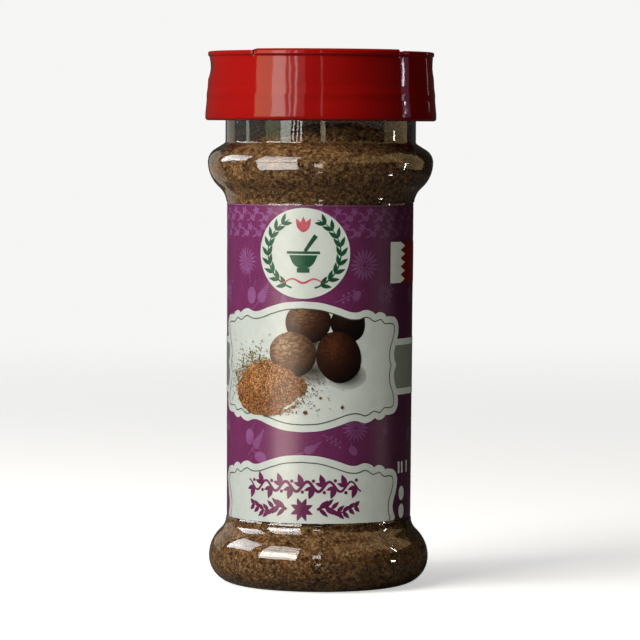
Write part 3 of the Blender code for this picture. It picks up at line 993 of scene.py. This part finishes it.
pale_teeth, red_teeth = zigzag_patch()
small_marks = [field(oval(17.8, v, 1.0, 1.25, steps=32)) for v in (13.35, 16.45)]
small_marks += [block(u, 20.0, u + 0.6, 22.0) for u in (16.4, 17.6, 19.6)]
label_top = label_high[2] / MM
cut_edge = block(-ROUND / 2, label_top - 0.16, ROUND / 2, label_top)
printed("print_patch_pale", [pale_teeth] + small_marks, white_ink, 3)
printed("print_patch_red", [red_teeth], ink("red ink", rgb(176, 10, 12)), 3)
printed("print_edge", [cut_edge], ink("cut edge", rgb(150, 96, 134)), 2)

# %% [markdown]
# ## The badge
# Two leafy branches follow the badge's edge round a small mortar, with a bud on top and a waved
# line below.

# %% Badge drawing
green_ink = ink("green ink", rgb(34, 92, 62), rgb(26, 76, 50))
rose_ink = ink("rose ink", rgb(196, 66, 84), rgb(214, 110, 120))
BRANCH_REACH = 0.8  # of the badge's half width


def heading(path, k, before=1, after=0):
    """The angle at which a path runs near its point k."""
    return math.atan2(*(path[k + after] - path[k - before])[::-1])


def branch(side):
    """A stem on an arc inside the badge's edge, with leaves outside and inside it."""
    angle = np.linspace(math.radians(252), math.radians(112), 30)
    reach = BRANCH_REACH * pair(side * BADGE_HALF_U * np.cos(angle), BADGE_HALF_V * np.sin(angle))
    path = reach + (BADGE_U, BADGE_V)
    rows = []
    for k in range(2, 29, 3):
        rows += spray(*path[k], heading(path, k) + np.array([-0.55, 0.55]), 2.0, 0.72)
    return [stroke(path, np.linspace(0.32, 0.12, 30))] + leaves(rows)


def mortar():
    """A bowl on a foot with a pestle standing in it."""
    t, s, rise = np.linspace(-1, 1, 25)[:, None], np.linspace(0, 1, 5), np.linspace(0, 1, 9)
    bowl = pair(BADGE_U + 2.5 * t * (1 - 0.12 * s), BADGE_V - 0.3 - 2.3 * s * np.sqrt(1 - 0.92 * t**2))
    foot = block(BADGE_U - 1.1, BADGE_V - 3.3, BADGE_U + 1.1, BADGE_V - 2.5)
    lip = block(BADGE_U - 2.9, BADGE_V - 0.1, BADGE_U + 2.9, BADGE_V + 0.35)
    pestle = pair(BADGE_U + 0.3 + 1.9 * rise, BADGE_V + 0.35 + 2.7 * rise)
    return [bowl, foot, lip, stroke(pestle, 0.55 + 0.25 * rise)]


def flourish():
    """A waved line under the mortar, thickest in its middle."""
    t = np.linspace(-1, 1, 31)
    return stroke(pair(BADGE_U + 4.2 * t, BADGE_V - 4.7 - 0.35 * np.cos(2.2 * np.pi * t)), 0.36 - 0.26 * t**2)


bud = leaves(spray(BADGE_U, BADGE_V + 3.6, math.pi / 2 + np.array([-0.5, 0.0, 0.5]), 2.7, 1.05), 11)
printed("print_badge_green", branch(1) + branch(-1) + mortar(), green_ink, 4)
printed("print_badge_rose", bud + [flourish()], rose_ink, 4)

# %% [markdown]
# ## The picture
# Four whole nutmegs and a small heap of powder on white, over soft shadows. Each is one field
# with its own small painting: the shading is part of the print, worked out from the field's own
# UV map, which runs from -1 to 1 across it.

# %% Picture helpers
PICTURE_GLOSS = 0.32  # roughness of the picture's inks


def local_uv(piece, centre, half):
    """A UV map that runs from -1 to 1 across a drawing: read back from the wrapped points."""
    mesh = piece.data
    co = np.empty(len(mesh.vertices) * 3, np.float32)
    mesh.vertices.foreach_get("co", co)
    x, y, z = co.reshape(-1, 3).T
    drawn = pair((np.arctan2(y, x) - FRONT) * LABEL_R, z) / MM
    index = np.empty(len(mesh.loops), np.int32)
    mesh.loops.foreach_get("vertex_index", index)
    layer = mesh.uv_layers.new(name="drawing")
    layer.data.foreach_set("uv", ((drawn - centre) / half)[index].astype(np.float32).ravel())


def drawing_uv(material):
    return node(material, "UVMap", {"uv_map": "drawing"}).outputs[0]


def from_point(material, x, y):
    """Distance from a point of the drawing's UV map."""
    uv = drawing_uv(material)
    made = node(material, "VectorMath", {"operation": "DISTANCE"}, i0=uv, i1=(x, y, 0.0))
    return made.outputs["Value"]


def under_arch(grid):
    """Cut off at the thin line inside the picture's frame, by pulling points down to it."""
    line = frame_outline(PICTURE_V, RULE_INSET + RULE_WIDTH)
    top = line[(line[:, 1] > PICTURE_V) & (np.abs(line[:, 0] - FRAME_U) < 12)]
    top = top[np.argsort(top[:, 0])]
    return pair(grid[..., 0], np.minimum(grid[..., 1], np.interp(grid[..., 0], *top.T)))


def painted(name, dark, mid, light, groove_scale, stretch, groove_share):
    """A painted round thing: light from the upper left falls off across the UV map. Grooves lie
    where a stretched noise passes through its middle value, and they darken that light."""
    material, shader = new_material(name)
    fall = scaled(material, from_point(material, -0.3, 0.4), 0.1, 1.45, 1.0, 0.0)
    long_way = node(material, "Mapping", Vector=drawing_uv(material), Scale=stretch).outputs[0]
    folds = noise(material, long_way, groove_scale, 3.0, Distortion=1.4)
    off_middle = maths(material, "ABSOLUTE", maths(material, "SUBTRACT", folds, 0.5))
    depth = scaled(material, off_middle, 0.0, 0.09, 1.0 - groove_share, 1.0)
    lit = maths(material, "MULTIPLY", fall, depth)
    colour = ramp(material, lit, [(0.02, dark), (0.45, mid), (0.95, light)])
    set_shader(material, shader, Base_Color=colour, Roughness=PICTURE_GLOSS, IOR=1.5)
    return material


def shade_ink():
    """The white ink, darkened towards the middle of the drawing's UV map: a soft shadow that
    meets the bare white at its edge."""
    material, shader = new_material("shade ink")
    cloud = noise(material, here(material), 400.0, 3.0)
    paper = ramp(material, cloud, [(0.35, dimmed(WHITE)), (0.65, WHITE)])
    shade = ramp(material, from_point(material, 0.0, 0.0), [
        (0.0, (0.10, 0.09, 0.08)), (0.45, (0.32, 0.31, 0.29)), (1.0, (1.0, 1.0, 1.0)),
    ], "EASE")
    colour = mixed(material, 1.0, paper, shade, "MULTIPLY")
    set_shader(material, shader, Base_Color=colour, Roughness=PICTURE_GLOSS, IOR=1.5)
    return material


def seed_outline(u, v, half_u, half_v, turn, seed):
    """An oval made a little uneven by three slow waves round it."""
    draw = np.random.default_rng(seed)
    angle = circle(96)
    wave = 1 + sum(0.018 * math.sqrt(1 / k) * np.sin(k * angle + draw.uniform(0, 6.28)) for k in (2, 3, 5))
    return oval(0, 0, half_u, half_v, turn, 96) * wave[:, None] + (u, v)


def picture_piece(name, outline, centre, half, finish, layer):
    """One painted field of the picture, with its UV map."""
    piece = printed("print_" + name, [under_arch(field(outline, centre))], finish, layer)
    local_uv(piece, centre, half)


# %% Nutmegs in the picture
SHADES = [  # name, u, v, half u, half v
    ("shade_left", -1.2, 38.2, 6.2, 2.7),
    ("shade_right", 4.7, 37.3, 3.7, 2.3),
    ("shade_middle", -0.7, 43.0, 2.4, 2.6),
]
shadow_ink = shade_ink()
for name, u, v, half_u, half_v in SHADES:
    picture_piece(name, oval(u, v, half_u, half_v), (u, v), (half_u, half_v), shadow_ink, 4)
black_seed = painted("black seed", rgb(10, 5, 4), rgb(24, 12, 8), rgb(56, 30, 20), 2.4, (1.0, 1.6, 1.0), 0.35)
dark_seed = painted("dark seed", rgb(18, 9, 5), rgb(70, 38, 24), rgb(132, 92, 62), 2.6, (0.8, 2.0, 1.0), 0.5)
warm_seed = painted("warm seed", rgb(14, 6, 4), rgb(50, 22, 13), rgb(98, 54, 32), 4.2, (1.0, 1.5, 1.0), 0.45)
cut_seed = painted(
    "marbled seed", rgb(34, 20, 12), rgb(112, 76, 50), rgb(178, 144, 108), 2.1, (1.0, 1.4, 1.0), 0.62
)
SEEDS = [  # name, u, v, half u, half v, turn, ink
    ("seed_far_right", 5.05, 46.3, 3.15, 3.3, 0.2, black_seed),
    ("seed_far_left", -2.0, 46.4, 4.0, 3.5, 0.0, dark_seed),
    ("seed_near_right", 3.4, 40.5, 4.0, 4.4, 0.35, warm_seed),
    ("seed_near_left", -4.8, 40.9, 4.25, 3.85, 0.0, cut_seed),
]
for order, (name, u, v, half_u, half_v, turn, finish) in enumerate(SEEDS):
    outline = seed_outline(u, v, half_u, half_v, turn, 40 + order)
    picture_piece(name, outline, (u, v), (half_u, half_v), finish, 5 + order)

# %% Powder heap in the picture
HEAP_U, HEAP_V, HEAP_HALF_U, HEAP_HALF_V = -9.9, 34.9, 7.5, 4.75
HEAP_POWER = 1.55
SPILL_HALF_U, SPILL_LOW, SPILL_HIGH = 16.3, 30.4, 46.6  # spilled grains stay inside these
CRUMBS = np.array([(-2.4, 31.0, 0.42), (4.0, 31.9, 0.34), (0.2, 33.5, 0.26), (-1.2, 35.1, 0.24)])


def heap_outline():
    """A rough-edged shape between an oval and a lozenge, whose radius carries noise at every
    scale round it: |x|^p + |y|^p = 1, with p under 2."""
    draw = np.random.default_rng(51)
    angle = circle(240)
    radius = (np.abs(np.cos(angle)) ** HEAP_POWER + np.abs(np.sin(angle)) ** HEAP_POWER) ** (-1 / HEAP_POWER)
    for k in (2, 3, 5, 9, 14, 23, 37):
        radius = radius + 0.05 / k**0.5 * np.sin(k * angle + draw.uniform(0, 6.28))
    return oval(0, 0, HEAP_HALF_U, HEAP_HALF_V, 0.08, 240) * radius[:, None] + (HEAP_U, HEAP_V)


def heap_ink():
    """Grains in four browns, darker between the clods and towards the heap's lower right."""
    material, shader = new_material("heap ink")
    place = here(material)
    colour = ramp(material, cell_pattern(material, place, 5600.0, 0)[0], [
        (0.0, rgb(52, 25, 10)), (0.22, rgb(122, 67, 28)), (0.6, rgb(168, 105, 54)), (1.0, rgb(222, 178, 122)),
    ])
    tone = ramp(material, noise(material, place, 900.0), [(0.35, (0.68,) * 3), (0.62, (1.08,) * 3)])
    away = from_point(material, -0.35, 0.5)
    slope = ramp(material, away, [(0.2, (1.12, 1.12, 1.08)), (1.0, (0.72, 0.66, 0.62))])
    grained = mixed(material, 1.0, colour, tone, "MULTIPLY")
    sloped = mixed(material, 1.0, grained, slope, "MULTIPLY")
    set_shader(material, shader, Base_Color=sloped, Roughness=PICTURE_GLOSS, IOR=1.5)
    return material


def dots(u, v, size, turn):
    """Small ovals, each a ring of eight points round its middle."""
    angle = np.linspace(0, 2 * np.pi, 9)
    size, middle = size[:, None], pair(u, v)[:, None]
    ring = middle + spun(size * np.cos(angle), 0.8 * size * np.sin(angle), turn[:, None])
    return list(np.stack(np.broadcast_arrays(ring, middle), axis=1))


def clear_of_seeds(u, v):
    """True where a place lies outside every nutmeg's oval, with a twentieth to spare."""
    return np.all([
        ((u - su) / half_u) ** 2 + ((v - sv) / half_v) ** 2 > 1.05
        for _, su, sv, half_u, half_v, _, _ in SEEDS
    ], axis=0)


def spill(count, seed, first, reach, towards, spread, largest):
    """Spilled grains round the heap: their distance, in parts of the heap's own radius, is drawn
    from an exponential beyond its edge, and their direction from a bell curve."""
    draw = np.random.default_rng(seed)
    angle = draw.normal(towards, spread, count)
    out = first + draw.exponential(reach, count)
    u, v = HEAP_U + HEAP_HALF_U * out * np.cos(angle), HEAP_V + HEAP_HALF_V * out * np.sin(angle)
    size = draw.uniform(0.04, largest, count)
    kept = (np.abs(u - FRAME_U) < SPILL_HALF_U) & (v > SPILL_LOW) & (v < SPILL_HIGH) & clear_of_seeds(u, v)
    return dots(u[kept], v[kept], size[kept], draw.uniform(0, 3, count)[kept])


heap_finish = heap_ink()
brown_ink = ink("brown ink", rgb(96, 58, 30), rgb(132, 92, 50), 2500.0)
gold_ink = ink("gold ink", rgb(140, 122, 58), rgb(110, 92, 44), 2500.0)
picture_piece("heap", heap_outline(), (HEAP_U, HEAP_V), (HEAP_HALF_U, HEAP_HALF_V), heap_finish, 9)
printed("print_fringe", spill(680, 62, 0.90, 0.06, 0.0, 9.0, 0.17), heap_finish, 10)
crumbs = dots(*CRUMBS.T, np.array([0.3, 1.2, 0.8, 2.0]))
printed("print_specks", spill(200, 61, 1.0, 0.26, -0.1, 0.75, 0.13) + crumbs, brown_ink, 10)
printed("print_gold_specks", spill(420, 63, 0.98, 0.28, 2.1, 0.62, 0.17), gold_ink, 10)

# %% [markdown]
# ## The lower frame's ornament
# Two lines of purple ornament: a wavy vine with leaves and berries, and under it a rosette with
# sprays of leaves to the left and right.

# %% Vine and rosette
VINE_V, VINE_HALF, VINE_WAVE, ROSETTE_V = 18.27, 10.6, 0.85, 14.3


def vine():
    """A sine wave, thickest in its middle, with two leaves and a berry at each bend."""
    t = np.linspace(-1, 1, 90)
    path = pair(FRAME_U + VINE_HALF * t, VINE_V + VINE_WAVE * np.sin(5.5 * np.pi * t))
    rows, berries = [], []
    for k in range(5, 86, 8):
        side = 1 if (k // 8) % 2 else -1
        along = heading(path, k, after=1)
        rows += [(*path[k], along + side * 1.0, 2.2, 1.05), (*path[k], along + side * 1.9, 1.7, 0.75)]
        berries.append(field(oval(path[k, 0], path[k, 1] - side * 1.1, 0.3, 0.3, 0, 16), rings=1))
    return [stroke(path, 0.54 - 0.28 * t**2)] + leaves(rows) + berries


def rosette():
    """Eight petals, and to each side a waved stem with leaves that shorten outwards."""
    rows, stems = spray(FRAME_U, ROSETTE_V, circle(8) + 0.39, 2.15, 0.9), []
    t = np.linspace(0, 1, 20)
    for side in (-1, 1):
        path = pair(FRAME_U + side * (2.7 + 6.6 * t), ROSETTE_V + 0.5 * np.sin(2.5 * np.pi * t))
        stems.append(stroke(path, 0.5 - 0.34 * t))
        outwards = 0 if side > 0 else math.pi
        for k in range(1, 20, 3):
            rows += spray(*path[k], (outwards - 0.75, outwards + 0.75), 2.2 - 0.8 * t[k], 0.76)
    return leaves(rows) + stems


deep_purple_ink = ink("deep purple ink", rgb(104, 28, 76), rgb(122, 40, 92))
printed("print_name_ornament", vine() + rosette(), deep_purple_ink, 4)

# %% [markdown]
# ## Stage, lights and camera
# A pale floor that fades out before its edge. Soft lamps that no gloss mirrors give the light:
# windows high on the left, a ceiling, and weak fills on the right that keep the print and the
# cap from falling dark. Windows and ceiling are split by group, because the powder, the label
# and the rest each need the light from a slightly different side. What the gloss mirrors is a
# set of narrower panes round the jar, each shown to one group of pieces only, as a photographer
# places cards: that way a highlight can be moved or dimmed without changing anything else.

# %% Floor
FLOOR_HALF = 1.6
FLOOR_GLOW = 0.52  # keeps the floor pale under the low light; it lights nothing
FADE_START, FADE_END = 0.10, 0.75  # distances from the jar between which the floor fades out


def make_floor():
    corners = FLOOR_HALF * np.array([[-1, -1, 0], [1, -1, 0], [1, 1, 0], [-1, 1, 0]])
    floor = mesh_from("floor", corners, np.array([[0, 1, 2, 3]]))
    material, shader = new_material("pale floor")
    seen = node(material, "LightPath").outputs["Is Camera Ray"]
    set_shader(
        material, shader, Base_Color=mixed(material, seen, (0.10, 0.10, 0.095, 1), (0.86, 0.86, 0.85, 1)),
        Roughness=0.6, Emission_Color=(1, 1, 0.99, 1),
        Emission_Strength=maths(material, "MULTIPLY", seen, FLOOR_GLOW),
    )
    away = node(material, "VectorMath", {"operation": "LENGTH"}, i0=here(material)).outputs["Value"]
    fade = scaled(material, away, FADE_START, FADE_END, 0.0, 1.0)
    fade.node.interpolation_type = "SMOOTHSTEP"
    shown(material, fade, shader, node(material, "BsdfTransparent"))
    floor.data.materials.append(material)


make_floor()


# %% Lights
def direction(azimuth, elevation):
    """Unit vector towards a light: azimuth in degrees from the viewer's side, + to the right."""
    a, e = math.radians(azimuth), math.radians(elevation)
    return np.array([math.sin(a) * math.cos(e), -math.cos(a) * math.cos(e), math.sin(e)])


def area_light(name, place, turned, size, power, colour, on):
    """A flat lamp that lights only the pieces in a group, or all of them if there is none."""
    light = bpy.data.lights.new(name, "AREA")
    light.shape = "RECTANGLE"
    light.size, light.size_y = size
    light.energy = power
    light.color = colour
    lamp = bpy.data.objects.new(name, light)
    lamp.location = place
    lamp.rotation_mode = "QUATERNION"
    lamp.rotation_quaternion = turned
    lamp.visible_camera = False
    lamp.visible_transmission = False  # light passes the clear wall as shadow rays, once
    lamp.light_linking.receiver_collection = on
    bpy.context.scene.collection.objects.link(lamp)
    return lamp


JAR_MIDDLE = 0.045
FAR_BOX = 0.62  # how far most soft lamps stand from the jar's middle
NEAR, FAR = 0.12, 0.25  # how far the panes stand from the jar's axis


def soft_box(name, azimuth, elevation, distance, width, height, power, colour, on=None):
    """A lamp for light alone: it faces the jar's middle, and no gloss mirrors it."""
    aim = direction(azimuth, elevation)
    turned = Vector(aim).to_track_quat("Z", "Y")
    lamp = area_light(name, aim * distance + (0, 0, JAR_MIDDLE), turned, (width, height), power, colour, on)
    lamp.visible_glossy = False


def pane(name, azimuths, heights, glow, colour, on, lean=0.0, away=NEAR):
    """A lamp for gloss alone, upright and this far away from the jar's axis. It spans the azimuths
    and the heights in millimetres, and leans by an angle in degrees. Only the pieces named in the
    group mirror it. A flat lamp of radiance L sends out L times pi times its area."""
    middle = 0.5 * (azimuths[0] + azimuths[1])
    width = 2 * away * math.tan(math.radians(abs(azimuths[1] - azimuths[0]) / 2))
    height = (heights[1] - heights[0]) * MM
    aim = direction(middle, 0)
    turned = Vector(aim).to_track_quat("Z", "Y") @ Quaternion((0, 0, 1), math.radians(lean))
    place = aim * away + (0, 0, 0.5 * (heights[0] + heights[1]) * MM)
    lamp = area_light(name, place, turned, (width, height), glow * math.pi * width * height, colour, on)
    lamp.visible_diffuse = False


def group(name, wanted):
    """A collection of the pieces whose names pass the test, for lamps that light nothing else."""
    made = bpy.data.collections.new(name)
    for piece in bpy.context.scene.objects:
        if piece.type == "MESH" and wanted(piece.name):
            made.objects.link(piece)
    return made


POWDER = ("powder_core", "loose_grains", "wall_dust")
PALE_PRINT = ("print_white", "print_patch_pale", "print_band")
is_label = lambda name: name.startswith(("label", "print"))
powder_group = group("powder", lambda name: name in POWDER)
label_group = group("label", is_label)
others = group("all else", lambda name: name not in POWDER and not is_label(name))
bright = group("all but powder", lambda name: name not in POWDER)
pale_print = group("pale print", lambda name: name in PALE_PRINT)
cap_group = group("cap", lambda name: name == "red_cap")
jar_group = group("jar gloss", lambda name: name == "clear_jar")

# %% Soft lamps
DAYLIGHT, CEILING_LIGHT = (1.0, 0.985, 0.955), (1.0, 0.93, 0.80)
for name, azimuth, pieces in (
    ("window", -51, others), ("label_window_light", -45, label_group), ("powder_window", -57, powder_group),
):
    soft_box(name, azimuth, 36, FAR_BOX, 0.34, 0.40, 3.8, DAYLIGHT, pieces)
soft_box("side_window", -80, 38, FAR_BOX, 0.44, 0.34, 1.35, (0.97, 0.98, 1.0))
soft_box("ceiling", 0, 82, 0.60, 0.7, 0.7, 0.42, CEILING_LIGHT, bright)
soft_box("powder_ceiling", -60, 68, 0.60, 0.6, 0.6, 0.42, CEILING_LIGHT, powder_group)
for name, azimuth, power, colour, pieces in (
    ("pale_fill", 40, 0.75, (1.0, 1.0, 0.92), pale_print),
    ("label_fill", 64, 0.11, (1.0, 0.97, 0.82), label_group),
    ("cap_fill", 64, 0.22, (1.0, 1.0, 1.0), cap_group),
):
    soft_box(name, azimuth, 12, FAR_BOX, 0.3, 0.3, power, colour, pieces)

# %% [markdown]
# ## Panes
# The jar's round shoulder and base each shrink the whole room into a few bright patches: a tall
# barred window in front on the left, a second one further round, and a warm wall on the right.
# Between neck and cap only a low strip of the room is seen. The cap and the label are mirrors
# that curve one way, so a pane shows in them as an upright stripe. Each row below gives a pane's
# name, the azimuths and the heights that it spans, its glow and its colour.

# %% Panes for the jar
DAY, SKY, WARM, LEAF_SHADE = (1.0, 0.985, 0.94), (0.90, 0.95, 1.0), (1.0, 0.86, 0.62), (0.75, 0.85, 0.45)
IN_NECK = (75.7, 82.8)
BARRED = [(92, 118, 11.0), (121, 156, 13.0), (160, 198, 10.0), (203, 244, 9.0), (249, 312, 8.0)]
LEFT_BARRED = [(105, 124, 10.0), (127, 151, 13.0), (154, 181, 10.0), (184, 214, 9.0), (218, 250, 8.0)]
for k, (low, high, glow) in enumerate(BARRED):
    pane(f"jar_window_{k}", (-67, -23), (low, high), glow, DAY, jar_group, 4, FAR)
for k, (low, high, glow) in enumerate(LEFT_BARRED):
    pane(f"jar_left_window_{k}", (-119, -79), (low, high), glow, SKY, jar_group, 15, FAR)
for name, azimuths, heights, glow, colour in (
    ("window_low", (-62.5, -21.5), (32, 75.5), 11.0, DAY),
    ("neck_pane", (-46, -33), IN_NECK, 6.0, (0.93, 1.0, 0.88)),
    ("warm_wall", (20, 87), (84, 190), 1.1, (1.0, 0.64, 0.28)),
    ("warm_corner", (78, 122), (50, 205), 0.7, (1.0, 0.70, 0.34)),
    ("left_haze", (-152, -121), (15, 125), 0.5, (1.0, 0.93, 0.80)),
    ("neck_bar_0", (-31.0, -29.0), IN_NECK, 8.0, DAY),
    ("neck_bar_1", (-26.0, -25.0), IN_NECK, 8.0, DAY),
    ("neck_bar_2", (-22.5, -20.5), IN_NECK, 8.0, DAY),
    ("neck_leaves", (-66, -47), IN_NECK, 1.4, LEAF_SHADE),
    ("neck_edge", (-95, -90), IN_NECK, 3.0, (0.8, 0.9, 0.85)),
    ("slit", (-0.5, 5.0), (72, 94), 3.0, WARM),
    ("slit_bright", (-6, 2.5), (46, 70), 8.0, DAY),
    ("slit_low", (-2.5, 2.5), (5, 15), 9.0, DAY),
    ("lamp", (88.6, 90.6), (46, 75), 22.0, DAY),
    ("neck_lamp", (92.4, 94.2), (76.9, 78.3), 22.0, DAY),
    ("lamp_low", (76, 82), (6, 14), 22.0, DAY),
):
    pane("jar_" + name, azimuths, heights, glow, colour, jar_group)

# %% Panes for the cap
CAP_SIDE = (78, 150)
for name, azimuths, heights, glow, colour in (
    ("window", (-46.6, -33.2), CAP_SIDE, 4.0, (0.92, 1.0, 0.88)),
    ("warm_window", (-64, -46.6), CAP_SIDE, 1.7, (0.95, 1.0, 0.60)),
    ("haze", (-33.2, -15), CAP_SIDE, 0.5, DAY),
    ("line_0", (-30.0, -28.6), CAP_SIDE, 3.6, DAY),
    ("line_1", (-24.2, -22.4), CAP_SIDE, 3.6, DAY),
    ("line_2", (0.0, 0.9), CAP_SIDE, 1.4, DAY),
    ("lamp", (85.2, 87.6), (95.9, 99.5), 16.0, (0.95, 0.9, 1.0)),
    ("lamp_low", (82, 85), (80, 92), 2.4, (0.9, 0.85, 1.0)),
    ("lamp_haze", (83, 93), (80, 112), 0.45, (0.75, 0.55, 1.0)),
    ("far_line", (129, 131), (90, 108), 0.8, (1.0, 0.75, 0.7)),
):
    pane("cap_" + name, azimuths, heights, glow, colour, cap_group)

# %% Panes for the label
for name, azimuths, heights, glow, colour in (
    ("window_low", (-54, -26), (-30, 26), 6.4, (1.0, 0.87, 0.70)),
    ("window", (-55, -25), (26, 80), 3.0, (1.0, 0.91, 0.74)),
    ("side_window", (-62, -40), (-30, 80), 0.7, (1.0, 0.9, 0.8)),
    ("right_line", (76, 80), (-10, 40), 1.6, (1.0, 0.8, 0.75)),
    ("right_haze", (64, 94), (-30, 80), 0.22, (1.0, 0.92, 0.82)),
):
    pane("label_" + name, azimuths, heights, glow, colour, label_group)


# %% World
def make_world():
    """Pale to the camera. To all else it is a dim warm glow that is brighter towards the left."""
    world = bpy.data.worlds.new("studio")
    bpy.context.scene.world = world
    world.use_nodes = True
    world.node_tree.nodes.clear()
    place = node(world, "TexCoord").outputs["Generated"]
    to_right = node(world, "SeparateXYZ", i0=place).outputs["X"]
    glow = scaled(world, to_right, -1.0, 0.8, 0.09, 0.005)
    seen = node(world, "Background", i0=(0.92, 0.92, 0.91, 1))
    lights = node(world, "Background", i0=(1.0, 0.94, 0.84, 1), i1=glow)
    by_camera = node(world, "LightPath").outputs["Is Camera Ray"]
    both = node(world, "MixShader", i0=by_camera, i1=lights.outputs[0], i2=seen.outputs[0])
    node(world, "OutputWorld", i0=both.outputs[0])


make_world()

# %% [markdown]
# ## Camera
# The eye is about 65 cm away, level with the jar's neck, and looks a little down at its middle.
# The lens is long, so the jar's sides stay almost upright, and the cap's top is out of sight. A
# small roll copies how level the camera was held.

# %% Camera
DISTANCE, EYE_Z, AIM_Z = 0.647, 0.080, 0.046
SENSOR_WIDTH = 36.0
FRAME_WIDTH = 0.112  # metres that the picture's width spans at the jar's axis
ROLL = math.radians(0.33)
ASIDE = 0.06 * MM  # the jar stands this much left of the picture's middle


def make_camera():
    camera = bpy.data.cameras.new("camera")
    camera.sensor_width = SENSOR_WIDTH
    camera.lens = SENSOR_WIDTH * math.hypot(DISTANCE, EYE_Z - AIM_Z) / FRAME_WIDTH
    camera.clip_start, camera.clip_end = 0.01, 20.0
    eye = bpy.data.objects.new("camera", camera)
    eye.location = (ASIDE, -DISTANCE, EYE_Z)
    look = Vector((0.0, DISTANCE, AIM_Z - EYE_Z))
    eye.rotation_mode = "QUATERNION"
    eye.rotation_quaternion = look.to_track_quat("-Z", "Y") @ Quaternion((0, 0, 1), ROLL)
    bpy.context.scene.collection.objects.link(eye)
    bpy.context.scene.camera = eye


make_camera()
bpy.context.scene.view_settings.view_transform = "Standard"
